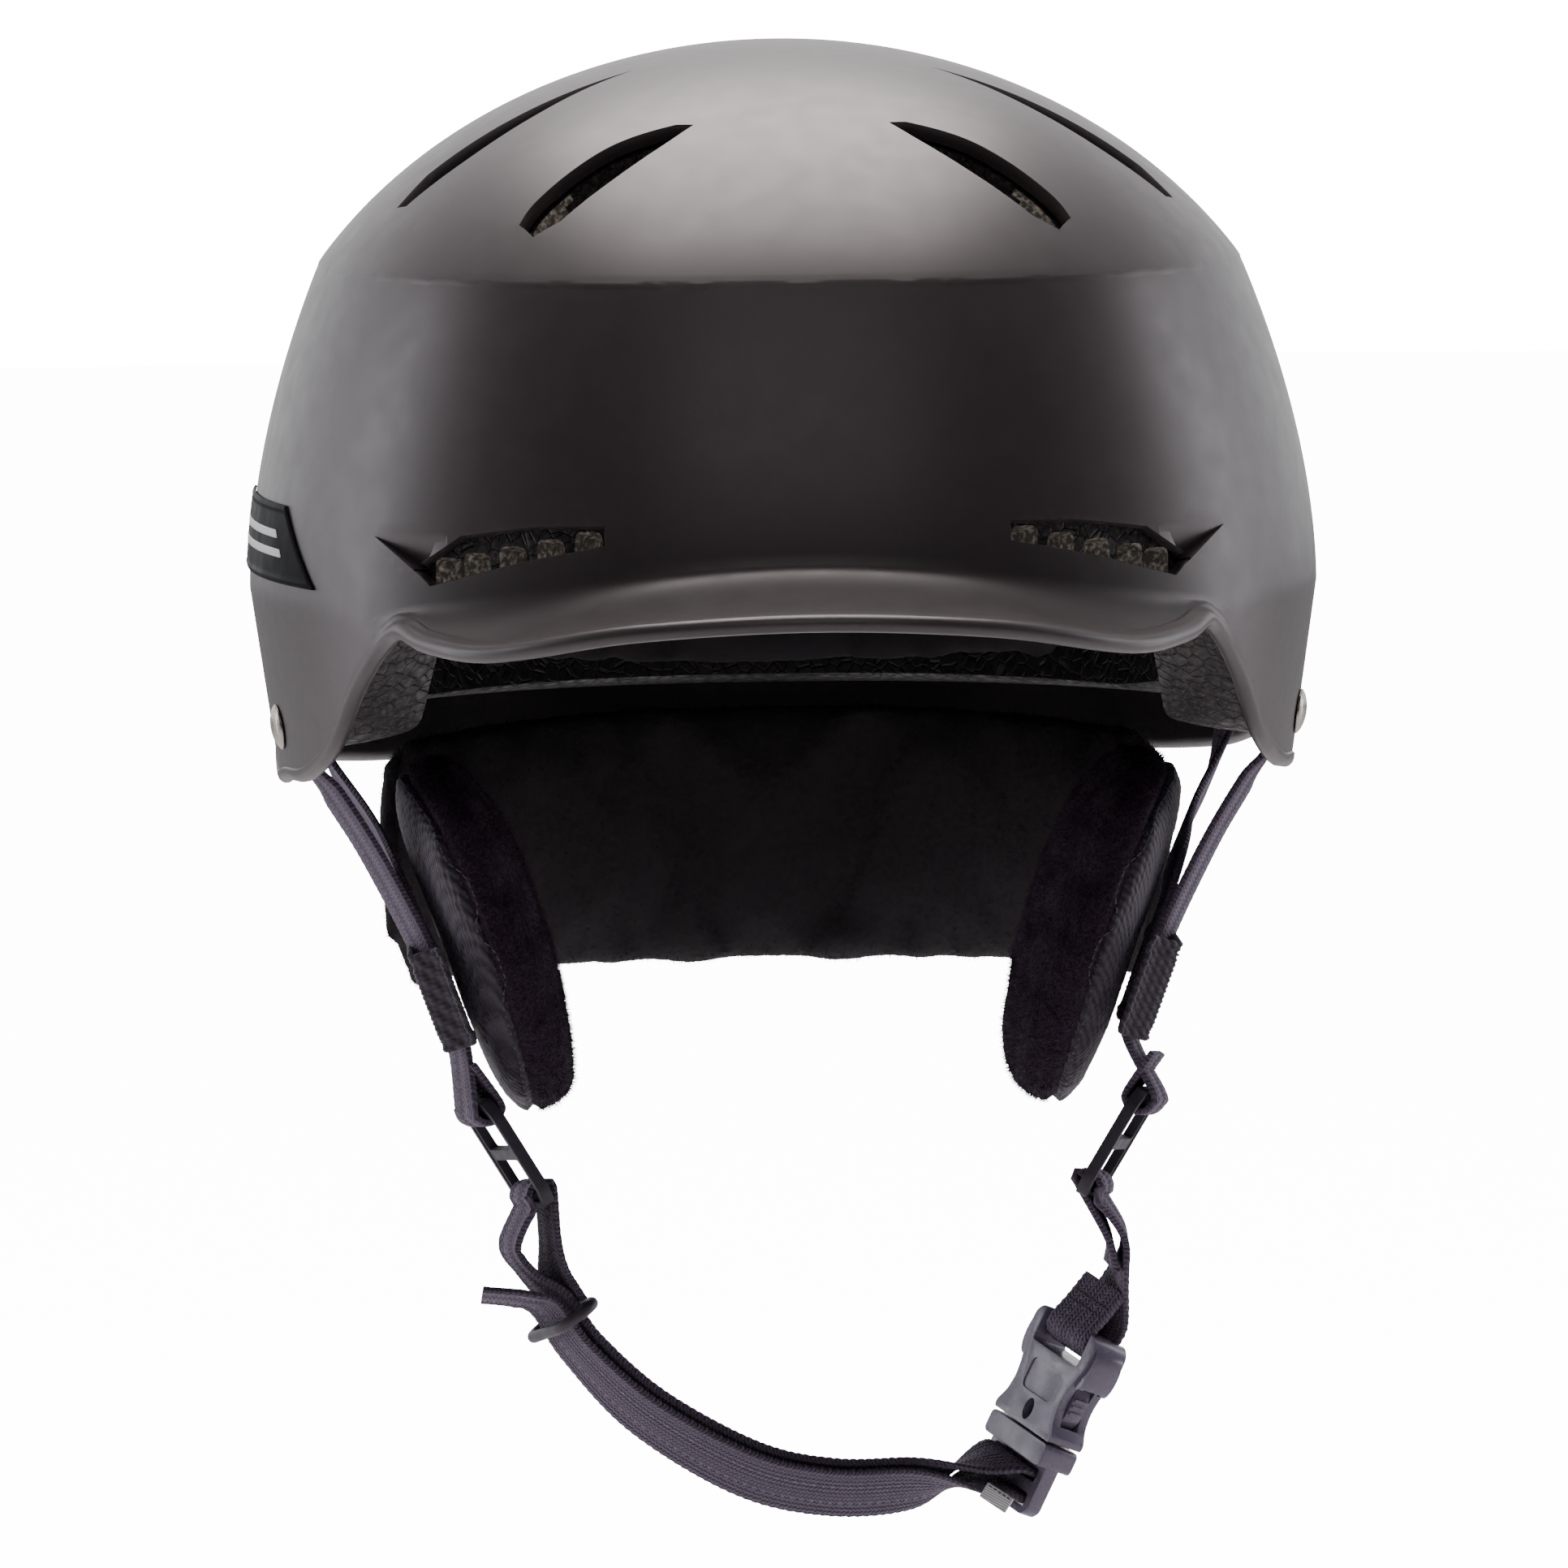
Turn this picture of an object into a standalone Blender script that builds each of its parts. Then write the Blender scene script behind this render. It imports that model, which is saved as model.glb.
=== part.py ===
"""Snow helmet: brimmed hard shell, foam liner, soft ear flaps, Y-straps, chin loop and rear fit reel.

Sizes below are in millimetres and become metres as each mesh is made.
+Z is up, the brim points to -Y, and the wearer's right side is -X.
Heights here are counted from the shell's lower edge over the ears. The last step moves the finished
helmet down, so that its origin is the middle of the crown pad's face, where it rests on a head.
"""
import math

import bmesh
import bpy
from mathutils import Matrix, Vector

MM = 0.001
CLEAR = 0.4

# Hard shell: plan ellipse, wall and dome
HALF_WIDTH = 108.0
FRONT_DEPTH = 125.0
BACK_DEPTH = 132.0
SQUARENESS = 2.2
BELT_Z = 40.0
CREASE_Z = 104.7
CREASE_SHARE = 0.862
LOWER_TAPER = 0.052
WALL_BULGE = 1.8
DOME_BASE_Z = 54.7
DOME_RISE = 94.3
DOME_CUT = 0.8457
SHELL_WALL = 3.0
# Angle from the front, reach of the brim past the wall, height of the lower edge
SHELL_EDGE = (
    (0, 28.0, 45.5), (13, 24.5, 43.4), (26, 15.5, 38.0), (34, 8.0, 38.4), (40, 2.0, 39.6),
    (48, 0.0, 27.5), (55, 0.0, 14.0), (64, 0.0, 6.5), (74, 0.0, 4.5), (86, 0.0, 2.0),
    (100, 0.0, 6.0), (118, 0.0, 0.0), (140, 0.0, -4.0), (180, 0.0, -5.0),
)
BRIM_ROOT_Z = 53.0
SECTORS = 48
DOME_ROWS = 7
WALL_ROWS = 4
LOWER_ROWS = 3

# Foam liner
FOAM_THICKNESS = 20.0
FOAM_INSET = SHELL_WALL + 0.8
FOAM_EDGE = (
    (0, 0, 44.0), (30, 0, 43.0), (42, 0, 40.0), (49, 0, 34.0), (55, 0, 23.0), (61, 0, 13.0),
    (68, 0, 10.0), (80, 0, 10.0), (100, 0, 12.0), (125, 0, 8.0), (180, 0, 6.0),
)
PAD_INSET = FOAM_INSET + FOAM_THICKNESS + 0.6
COMFORT_PAD = 6.0
CROWN_PAD_RADIUS = 34.0
CROWN_PAD_FACE_Z = 115.0
CROWN_PAD_TOP_Z = 123.5

# Straps: rivets that hold them, webbing, plates that join them
RIVET_ANGLES = {"front": 73.0, "rear": 112.0}
RIVET_HEIGHTS = {"front": 14.0, "rear": 14.0}
RIVET_HEAD_RADIUS = 4.5
RIVET_SHANK_RADIUS = 2.3
WEB_WIDTH = 15.0
WEB_THICKNESS = 1.5
DIVIDER_X = {-1: 58.0, 1: 64.5}
DIVIDER_Y = -40.0
DIVIDER_Z = -71.5
DIVIDER_TILT = math.radians(31)
DIVIDER_BAR = 10.5
WRAP_RADIUS = 3.6

# Ear flaps
FLAP_TILT = math.radians(20)
FLAP_CENTRE = (61.5, -17.0, -30.0)
FLAP_HALF_DEPTH = 39.0
FLAP_HALF_LENGTH = 38.0
FLAP_THICKNESS = 19.0
FLAP_HINGE_REACH = 30.0
REAR_STRAP_OUT = FLAP_THICKNESS / 2 + 1.9
FRONT_STRAP_OUT = REAR_STRAP_OUT + 2.2

# Chin buckle: centre, direction from the socket to the plug, direction of its back face
BUCKLE_CENTRE = Vector((51.2, -40.0, -122.4))
BUCKLE_DOWN = Vector((-0.43, 0.0, -0.903)).normalized()
BUCKLE_BACK = Vector((-0.782, -0.5, 0.372)).normalized()
BUCKLE_WIDTH = 22.0
BUCKLE_DEPTH = 8.6

# Neck panel: its outer face as a share of the plan radius, less with each mm down
NECK_TOP_Z = 3.0
NECK_HEM_Z = -50.0
NECK_THICKNESS = 8.0
NECK_SHARE = 0.835
NECK_TAPER = 0.0011

# Rear fit reel, on the outer face of the neck panel
REEL_Z = -24.0
REEL_BACK_GAP = 0.6


def finish(name, colour, roughness, metallic=0.0):
    """Principled material of one colour."""
    material = bpy.data.materials.new(name)
    material.use_nodes = True
    shader = material.node_tree.nodes["Principled BSDF"]
    shader.inputs["Base Color"].default_value = (*colour, 1.0)
    shader.inputs["Roughness"].default_value = roughness
    shader.inputs["Metallic"].default_value = metallic
    material.diffuse_color = (*colour, 1.0)
    return material


def smooth_step(value):
    """Blend from 0 to 1 that starts and ends level."""
    value = min(max(value, 0.0), 1.0)
    return value * value * (3 - 2 * value)


def through_keys(keys, angle, column):
    """Smooth curve through keys of (angle, value, value...), read at an angle in degrees."""
    for low in range(len(keys) - 1):
        if angle <= keys[low + 1][0]:
            break
    span = keys[low + 1][0] - keys[low][0]
    share = (angle - keys[low][0]) / span
    slopes = []
    for index in (low, low + 1):
        before, after = max(index - 1, 0), min(index + 1, len(keys) - 1)
        level = index in (0, len(keys) - 1)
        rise = keys[after][column] - keys[before][column]
        slopes.append(0.0 if level else rise / (keys[after][0] - keys[before][0]))
    a, b = keys[low][column], keys[low + 1][column]
    square, cube = share ** 2, share ** 3
    return ((2 * cube - 3 * square + 1) * a + (cube - 2 * square + share) * span * slopes[0]
            + (3 * square - 2 * cube) * b + (cube - square) * span * slopes[1])


# ---------------------------------------------------------------- helmet surface

def plan_radius(angle):
    """Radius of the helmet in plan at an angle from the front, at the belt line."""
    depth = FRONT_DEPTH if math.cos(angle) > 0 else BACK_DEPTH
    across = abs(math.sin(angle) / HALF_WIDTH) ** SQUARENESS
    along = abs(math.cos(angle) / depth) ** SQUARENESS
    return (across + along) ** (-1 / SQUARENESS)


def wall_share(z):
    """Radius at a height as a share of the plan radius: 1 at the belt line."""
    if z > BELT_Z:
        rise = (z - BELT_Z) / (CREASE_Z - BELT_Z)
        return 1 - (1 - CREASE_SHARE) * rise ** WALL_BULGE
    return 1 - LOWER_TAPER * (BELT_Z - z) / BELT_Z


def dome_point(angle, share):
    """Point on the dome; share runs from 0 at the crown to 1 at the crease."""
    radius = plan_radius(angle) * CREASE_SHARE * share
    z = DOME_BASE_Z + DOME_RISE * math.sqrt(1 - (DOME_CUT * share) ** 2)
    return Vector((radius * math.sin(angle), -radius * math.cos(angle), z))


def wall_point(angle, z, reach=0.0):
    """Point on the wall at a height, moved out by reach."""
    radius = plan_radius(angle) * wall_share(z) + reach
    return Vector((radius * math.sin(angle), -radius * math.cos(angle), z))


def helmet_point(angle, level):
    """Level 0 is the crown, 1 the crease, and below it the level is 1 mm of height per 0.01."""
    if level <= 1:
        return dome_point(angle, max(level, 0.0))
    return wall_point(angle, CREASE_Z - (level - 1) * 100)


def level_at(z):
    """Level of a height on the wall."""
    return 1 + (CREASE_Z - z) / 100


def helmet_normal(angle, level):
    """Outward direction of the plain helmet surface."""
    if level < 0.01:
        return Vector((0, 0, 1))
    step = 0.02
    around = helmet_point(angle + step, level) - helmet_point(angle - step, level)
    down = helmet_point(angle, level + step) - helmet_point(angle, max(level - step, 0.001))
    return down.cross(around).normalized()


def inset_point(angle, level, depth):
    """Point at a depth inside the outer surface."""
    return helmet_point(angle, level) - helmet_normal(angle, level) * depth


def surface_frame(angle, z):
    """Matrix on the outer wall: local X runs around, Y up the wall and Z outwards."""
    level = level_at(z)
    out = helmet_normal(angle, level)
    around = Vector((math.cos(angle), math.sin(angle), 0))
    around = (around - out * around.dot(out)).normalized()
    axes = Matrix((around, out.cross(around), out)).transposed().to_4x4()
    return Matrix.Translation(helmet_point(angle, level) * MM) @ axes


def shell_lower_point(angle, share):
    """Lower wall and brim, from the brim's root at share 0 to the edge at share 1."""
    degrees = abs(math.degrees(angle))
    reach = through_keys(SHELL_EDGE, degrees, 1)
    edge_z = through_keys(SHELL_EDGE, degrees, 2)
    root_z = brim_root_z(angle)
    fall = 0.7 * (1 - (1 - share) ** 2) + 0.3 * share
    z = root_z + (edge_z - root_z) * fall
    return wall_point(angle, z, reach * share ** 1.6)


def brim_root_z(angle):
    """Height where the brim starts to leave the wall; the belt line at the sides and back."""
    return BRIM_ROOT_Z - (BRIM_ROOT_Z - BELT_Z) * smooth_step(abs(math.degrees(angle)) / 60)


def dome_share(row):
    """Share of the dome's radius at a row; rows lie closer together near the crease."""
    share = row / DOME_ROWS
    return (math.sin(share * math.pi / 2) + share) / 2


def shell_point(angle, row):
    """Outer shell point for a row counted down from the crown."""
    if row <= DOME_ROWS:
        return dome_point(angle, dome_share(row))
    row -= DOME_ROWS
    root_z = brim_root_z(angle)
    if row <= WALL_ROWS:
        return wall_point(angle, CREASE_Z + (root_z - CREASE_Z) * row / WALL_ROWS)
    return shell_lower_point(angle, (row - WALL_ROWS) / LOWER_ROWS)


def foam_point(angle, row, depth):
    """Foam point at a depth inside the helmet surface, for a row counted down from the crown."""
    if row <= DOME_ROWS:
        return inset_point(angle, dome_share(row), depth)
    row -= DOME_ROWS
    root_z = brim_root_z(angle)
    edge_z = through_keys(FOAM_EDGE, abs(math.degrees(angle)), 2)
    if row <= WALL_ROWS:
        z = CREASE_Z + (root_z - CREASE_Z) * row / WALL_ROWS
        return inset_point(angle, level_at(z), depth)
    share = (row - WALL_ROWS) / LOWER_ROWS
    return inset_point(angle, level_at(root_z + (edge_z - root_z) * share), depth)


# ---------------------------------------------------------------- builders

def link_mesh(name, bm, material, collection=None):
    """Object from a bmesh in millimetres."""
    bmesh.ops.scale(bm, vec=(MM, MM, MM), verts=bm.verts)
    mesh = bpy.data.meshes.new(name)
    bm.to_mesh(mesh)
    bm.free()
    mesh.shade_smooth()
    mesh.set_sharp_from_angle(angle=math.radians(40))
    obj = bpy.data.objects.new(name, mesh)
    (collection or helmet).objects.link(obj)
    if material:
        mesh.materials.append(material)
    return obj


def solidify(obj, thickness, offset):
    """Give an open sheet a thickness in millimetres."""
    modifier = obj.modifiers.new("Thickness", "SOLIDIFY")
    modifier.thickness = thickness * MM
    modifier.offset = offset
    modifier.use_even_offset = True
    return obj


def bevel(obj, width, segments=2):
    """Round the edges of a mesh."""
    modifier = obj.modifiers.new("Edges", "BEVEL")
    modifier.width = width * MM
    modifier.segments = segments
    modifier.limit_method = "ANGLE"
    modifier.angle_limit = math.radians(40)
    return obj


def cut(obj, cutter, solver="EXACT"):
    """Cut a hole or pocket; all the cutters of one object act together."""
    group_name = obj.name + "_cutters"
    group = bpy.data.collections.get(group_name)
    if group is None:
        group = bpy.data.collections.new(group_name)
        cutters.children.link(group)
        modifier = obj.modifiers.new("Cut", "BOOLEAN")
        modifier.operation = "DIFFERENCE"
        modifier.solver = solver
        modifier.operand_type = "COLLECTION"
        modifier.collection = group
    group.objects.link(cutter)


def join(obj, tool):
    """Add the volume of a tool body."""
    modifier = obj.modifiers.new("Join " + tool.name, "BOOLEAN")
    modifier.operation = "UNION"
    modifier.solver = "EXACT"
    modifier.object = tool


def hang_on(name, point, objects, parent=None):
    """Parent moving pieces to an empty on their joint's axis, and that empty to a carrier if given."""
    empty = bpy.data.objects.new(name, None)
    empty.location = Vector(point) * MM
    empty.empty_display_size = 0.01
    helmet.objects.link(empty)
    bpy.context.view_layer.update()
    for child, carrier in [(obj, empty) for obj in objects] + ([(empty, parent)] if parent else []):
        child.parent = carrier
        child.matrix_parent_inverse = carrier.matrix_world.inverted()
        bpy.context.view_layer.update()
    return empty


def as_cutter(obj):
    """Hide a cutter from renders."""
    obj.hide_render = True
    obj.display_type = "WIRE"
    return obj


def block(name, size, place, material=None, collection=None):
    """Box of a size in millimetres, placed by a matrix."""
    bm = bmesh.new()
    bmesh.ops.create_cube(bm, size=1)
    bmesh.ops.scale(bm, vec=size, verts=bm.verts)
    obj = link_mesh(name, bm, material, collection)
    obj.matrix_world = place
    return obj


def cut_block(name, size, place):
    """Box-shaped cutter."""
    return as_cutter(block(name, size, place, collection=cutters))


def cut_cylinder(name, radius, length, place):
    """Round cutter along the local Z axis."""
    bm = bmesh.new()
    bmesh.ops.create_cone(bm, cap_ends=True, segments=24, radius1=radius, radius2=radius, depth=length)
    obj = link_mesh(name, bm, None, cutters)
    obj.matrix_world = place
    return as_cutter(obj)


def dome_sheet(name, point, rows, material):
    """Dome whose rings come from the upper half of a sphere, each corner placed by point()."""
    bm = bmesh.new()
    bmesh.ops.create_uvsphere(bm, u_segments=SECTORS, v_segments=2 * rows, radius=1)
    lower = [vert for vert in bm.verts if vert.co.z < -0.001]
    bmesh.ops.delete(bm, geom=lower, context="VERTS")
    for vert in bm.verts:
        angle = math.atan2(vert.co.x, -vert.co.y)
        row = math.acos(min(max(vert.co.z, 0.0), 1.0)) / (math.pi / 2) * rows
        vert.co = point(angle, round(row))
    return link_mesh(name, bm, material)


def folded_dome(name, point, rows, outer_depth, inner_depth, material):
    """Thick dome: a sphere whose lower half is folded up inside its upper half."""
    rings = 2 * rows + 1
    bm = bmesh.new()
    bmesh.ops.create_uvsphere(bm, u_segments=SECTORS, v_segments=rings, radius=1)
    for vert in bm.verts:
        angle = math.atan2(vert.co.x, -vert.co.y)
        ring = round(math.acos(min(max(vert.co.z, -1.0), 1.0)) / math.pi * rings)
        if ring <= rows:
            vert.co = point(angle, ring, outer_depth)
        else:
            vert.co = point(angle, rings - ring, inner_depth)
    bm.normal_update()
    return link_mesh(name, bm, material)


def sheet(name, point, columns, rows, material, flip=False):
    """Open sheet; point(u, v) places each corner, with u and v from 0 to 1."""
    bm = bmesh.new()
    bmesh.ops.create_grid(bm, x_segments=columns, y_segments=rows, size=0.5)
    for vert in bm.verts:
        vert.co = point(vert.co.x + 0.5, vert.co.y + 0.5)
    if flip:
        bmesh.ops.reverse_faces(bm, faces=bm.faces)
    return link_mesh(name, bm, material)


def turned(name, profile, place, material, closed=False, steps=16):
    """Solid of revolution about local Z from (radius, height) pairs, top to bottom outside."""
    bm = bmesh.new()
    corners = [bm.verts.new((radius, 0, height)) for radius, height in profile]
    for first, second in zip(corners, corners[1:]):
        bm.edges.new((first, second))
    if closed:
        bm.edges.new((corners[-1], corners[0]))
    obj = link_mesh(name, bm, material)
    screw = obj.modifiers.new("Turn", "SCREW")
    screw.steps = steps
    screw.render_steps = steps
    screw.use_merge_vertices = True
    screw.merge_threshold = 0.00001
    obj.matrix_world = place
    return obj


def rounded(u, v, half_width, half_height):
    """Square coordinates bent to a tile with round corners."""
    x, y = 2 * u - 1, 2 * v - 1
    soft = 0.45
    x_round = x * math.sqrt(1 - y * y / 2)
    y_round = y * math.sqrt(1 - x * x / 2)
    return (half_width * (x * (1 - soft) + x_round * soft),
            half_height * (y * (1 - soft) + y_round * soft))


def plate(name, outline, holes, thickness, place, material):
    """Flat plate from an outline and holes, in the local XY plane."""
    curve = bpy.data.curves.new(name, "CURVE")
    curve.dimensions = "2D"
    curve.fill_mode = "BOTH"
    curve.extrude = thickness * MM / 2
    curve.render_resolution_u = 0
    for loop in (outline, *holes):
        spline = curve.splines.new("POLY")
        spline.points.add(len(loop) - 1)
        for point, (x, y) in zip(spline.points, loop):
            point.co = (x * MM, y * MM, 0, 1)
        spline.use_cyclic_u = True
    return curve_to_mesh(name, curve, place, material)


def curve_to_mesh(name, curve, place, material, collection=None):
    """Welded mesh object made from a curve."""
    guide = bpy.data.objects.new(name + "_guide", curve)
    helmet.objects.link(guide)
    guide.matrix_world = place
    bpy.context.view_layer.update()
    evaluated = guide.evaluated_get(bpy.context.evaluated_depsgraph_get())
    mesh = bpy.data.meshes.new_from_object(evaluated)
    bm = bmesh.new()
    bm.from_mesh(mesh)
    bmesh.ops.remove_doubles(bm, verts=bm.verts, dist=0.00001)
    bm.to_mesh(mesh)
    bm.free()
    mesh.name = name
    mesh.shade_smooth()
    mesh.set_sharp_from_angle(angle=math.radians(40))
    mesh.materials.clear()
    if material:
        mesh.materials.append(material)
    obj = bpy.data.objects.new(name, mesh)
    obj.matrix_world = guide.matrix_world.copy()
    (collection or helmet).objects.link(obj)
    bpy.data.objects.remove(guide)
    return obj


def tube(name, points, radius, material, cyclic=False):
    """Round cord or ring through points in millimetres."""
    curve = bpy.data.curves.new(name, "CURVE")
    curve.dimensions = "3D"
    curve.bevel_depth = radius * MM
    curve.bevel_resolution = 1
    curve.use_fill_caps = not cyclic
    curve.render_resolution_u = 0
    spline = curve.splines.new("POLY")
    spline.points.add(len(points) - 1)
    for knot, point in zip(spline.points, points):
        knot.co = (*(Vector(point) * MM), 1)
    spline.use_cyclic_u = cyclic
    return curve_to_mesh(name, curve, Matrix.Identity(4), material)


def spline_values(values, samples):
    """Smooth run of vectors through the given ones, with samples steps between neighbours."""
    run = []
    for index in range(len(values) - 1):
        before = values[max(index - 1, 0)]
        start, end = values[index], values[index + 1]
        after = values[min(index + 2, len(values) - 1)]
        for step in range(samples):
            t = step / samples
            run.append(0.5 * (2 * start + (end - before) * t
                              + (2 * before - 5 * start + 4 * end - after) * t ** 2
                              + (3 * start - before - 3 * end + after) * t ** 3))
    run.append(values[-1])
    return run


def ribbon(name, stations, material, samples=2, width=WEB_WIDTH, thickness=WEB_THICKNESS):
    """Webbing along stations of (point, direction across the webbing)."""
    points = spline_values([Vector(point) for point, _ in stations], samples)
    across = spline_values([Vector(direction).normalized() for _, direction in stations], samples)
    count = len(points) - 1

    def place(u, v):
        index = round(u * count)
        tangent = points[min(index + 1, count)] - points[max(index - 1, 0)]
        tangent.normalize()
        side = across[index] - tangent * across[index].dot(tangent)
        return points[index] + side.normalized() * (v - 0.5) * width

    return solidify(sheet(name, place, count, 1, material), thickness, 0.0)


def wrap(centre, along, out, start, end, steps=4, radius=WRAP_RADIUS):
    """Points on an arc about a bar: angle 0 lies on the out side, 90 degrees along."""
    turns = [math.radians(start + (end - start) * step / steps) for step in range(steps + 1)]
    return [centre + (out * math.cos(turn) + along * math.sin(turn)) * radius for turn in turns]


def set_datum():
    """Move the whole helmet down so that the origin is the middle of the crown pad's face."""
    datum = bpy.data.objects.new("datum", None)
    datum.location.z = -CROWN_PAD_FACE_Z * MM
    for obj in (*helmet.all_objects, *cutters.all_objects):
        if obj.parent is None:
            obj.parent = datum
    helmet.objects.link(datum)


# ---------------------------------------------------------------- shell and foam

def outline_cutter(name, outline, size, place):
    """Prism cutter from a flat outline."""
    curve = bpy.data.curves.new(name, "CURVE")
    curve.dimensions = "2D"
    curve.fill_mode = "BOTH"
    curve.extrude = size * MM / 2
    curve.render_resolution_u = 0
    spline = curve.splines.new("POLY")
    spline.points.add(len(outline) - 1)
    for point, (x, y) in zip(spline.points, outline):
        point.co = (x * MM, y * MM, 0, 1)
    spline.use_cyclic_u = True
    return as_cutter(curve_to_mesh(name, curve, place, None, cutters))


INNER_VENT = ((19.0, -66.0), (22.5, -64.8), (35.6, -67.0), (49.5, -74.5), (53.5, -78.8),
              (51.0, -83.8), (45.6, -83.6), (34.7, -77.9), (25.2, -71.5))
OUTER_VENT = ((29.5, -26.5), (40.0, -28.3), (51.0, -30.0), (71.0, -33.0), (77.0, -38.0),
              (75.2, -41.8), (62.8, -41.3), (50.4, -37.0), (39.0, -31.0))
BROW_VENT = ((38.6, 60.0), (52.0, 59.6), (65.9, 57.4), (74.4, 51.2), (72.0, 47.4),
             (55.0, 52.6), (38.6, 56.2))
BROW_WINDOWS = (42.5, 49.5, 56.5, 63.5, 69.5)
WINDOW_WIDTH = 4.6
WINDOW_HEIGHT = 8.0
WINDOW_Z = 58.0
WINDOW_FALL = 0.24
FOAM_VENT_SHRINK = 0.86


def shrunk(outline, share):
    """Outline drawn in about its middle."""
    middle_x = sum(x for x, _ in outline) / len(outline)
    middle_y = sum(y for _, y in outline) / len(outline)
    return [(middle_x + (x - middle_x) * share, middle_y + (y - middle_y) * share) for x, y in outline]


def flipped(outline, side):
    """Outline on the wearer's right for side -1, on the left for side 1."""
    return [(side * x, y) for x, y in outline]


def top_vents(shell, foam):
    """Curved slots over the crown, through the shell and on through the foam."""
    height = 120.0
    place = Matrix.Translation((0, 0, 130 * MM))
    for side, word in SIDES:
        for kind, outline in (("inner", INNER_VENT), ("outer", OUTER_VENT)):
            cut(shell, outline_cutter(f"{kind}_vent_{word}", flipped(outline, side), height, place))
            channel = flipped(shrunk(outline, FOAM_VENT_SHRINK), side)
            channel_cutter = outline_cutter(f"{kind}_channel_{word}", channel, height, place)
            cut(foam, channel_cutter, solver="MANIFOLD")


def brow_vents(shell, foam):
    """Front slots above the brim, with a row of square channels through the foam behind."""
    upright = Matrix.Translation((0, -112 * MM, 0)) @ Matrix.Rotation(math.pi / 2, 4, "X")
    for side, word in SIDES:
        cut(shell, outline_cutter(f"brow_vent_{word}", flipped(BROW_VENT, side), 60, upright))
        for index, x in enumerate(BROW_WINDOWS):
            z = WINDOW_Z - WINDOW_FALL * (x - BROW_WINDOWS[0])
            place = Matrix.Translation((side * x * MM, -95 * MM, z * MM))
            size = (WINDOW_WIDTH, 76, WINDOW_HEIGHT)
            cut(foam, cut_block(f"brow_channel_{word}_{index + 1}", size, place))


def outer_shell():
    """Brimmed hard shell."""
    rows = DOME_ROWS + WALL_ROWS + LOWER_ROWS
    return solidify(dome_sheet("outer_shell", shell_point, rows, SHELL_FINISH), SHELL_WALL, -1.0)


def foam_liner():
    """Impact foam inside the shell."""
    rows = DOME_ROWS + WALL_ROWS + LOWER_ROWS
    inner = FOAM_INSET + FOAM_THICKNESS
    return folded_dome("foam_liner", foam_point, rows, FOAM_INSET, inner, FOAM_FINISH)


def rivet_frame(side, end):
    """Frame on the shell at a strap rivet."""
    return surface_frame(side * math.radians(RIVET_ANGLES[end]), RIVET_HEIGHTS[end])


def rivets(shell, foam):
    """Strap rivets, their inner washers and the holes and pockets that they need."""
    for side, word in SIDES:
        for end in RIVET_ANGLES:
            frame = rivet_frame(side, end)
            hole = cut_cylinder(f"rivet_hole_{end}_{word}", RIVET_SHANK_RADIUS + CLEAR, 16, frame)
            cut(shell, hole)
            pocket = frame @ Matrix.Translation((0, -4 * MM, -6.2 * MM))
            cut(foam, cut_block(f"rivet_pocket_{end}_{word}", (20, 28, 9), pocket))
            tail = RIVET_SHANK_RADIUS + 1.3
            profile = ((0, 1.9), (2.2, 1.7), (3.8, 1.1), (RIVET_HEAD_RADIUS, CLEAR),
                       (RIVET_SHANK_RADIUS, CLEAR), (RIVET_SHANK_RADIUS, -7.3),
                       (tail, -7.3), (tail, -8.2), (0, -8.5))
            turned(f"rivet_{end}_{word}", profile, frame, METAL_FINISH, steps=12)
            ring = ((5.0, -5.7), (5.0, -6.9), (2.8, -6.9), (2.8, -5.7))
            turned(f"washer_{end}_{word}", ring, frame, METAL_FINISH, closed=True, steps=12)
            rivet_holes[side, end] = hole


BADGE_FRONT_TOP = 63.5
BADGE_FRONT_BOTTOM = 54.5
BADGE_REAR = 93.0


def side_badge():
    """Blank plate on the wearer's right, with a slanted front end."""
    def place(u, v):
        z = 44.5 + 15.0 * v
        front = BADGE_FRONT_BOTTOM + (BADGE_FRONT_TOP - BADGE_FRONT_BOTTOM) * v
        angle = -math.radians(BADGE_REAR + (front - BADGE_REAR) * u)
        return inset_point(angle, level_at(z), -CLEAR)

    solidify(sheet("side_badge", place, 8, 2, BADGE_FINISH), 1.2, 1.0)


# ---------------------------------------------------------------- comfort liner

# Name, middle and half angle about the head, lower and upper height
COMFORT_PADS = (
    ("brow_pad", 0, 38, 68, 96), ("side_pad_right", -90, 27, 24, 92),
    ("side_pad_left", 90, 27, 24, 92), ("rear_pad", 180, 62, 7, 92),
)


def comfort_pad(name, middle, half_angle, low_z, high_z):
    """Fleece pad on the inside of the foam."""
    def place(u, v):
        angle, height = rounded(u, v, math.radians(half_angle), (high_z - low_z) / 2)
        level = level_at((high_z + low_z) / 2 + height)
        return inset_point(math.radians(middle) + angle, level, PAD_INSET)

    columns = max(4, round(half_angle / 5))
    solidify(sheet(name, place, columns, 5, FLEECE_FINISH), COMFORT_PAD, -1.0)


def crown_pad():
    """Round pad under the crown with a flat lower face."""
    edge = CROWN_PAD_RADIUS
    profile = ((0, CROWN_PAD_TOP_Z), (edge * 0.5, CROWN_PAD_TOP_Z - 1.2), (edge - 3, CROWN_PAD_TOP_Z - 4.2),
               (edge, CROWN_PAD_TOP_Z - 6.0), (edge - 1.5, CROWN_PAD_FACE_Z), (0, CROWN_PAD_FACE_Z))
    turned("crown_pad", profile, Matrix.Identity(4), FLEECE_FINISH, steps=32)


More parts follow.
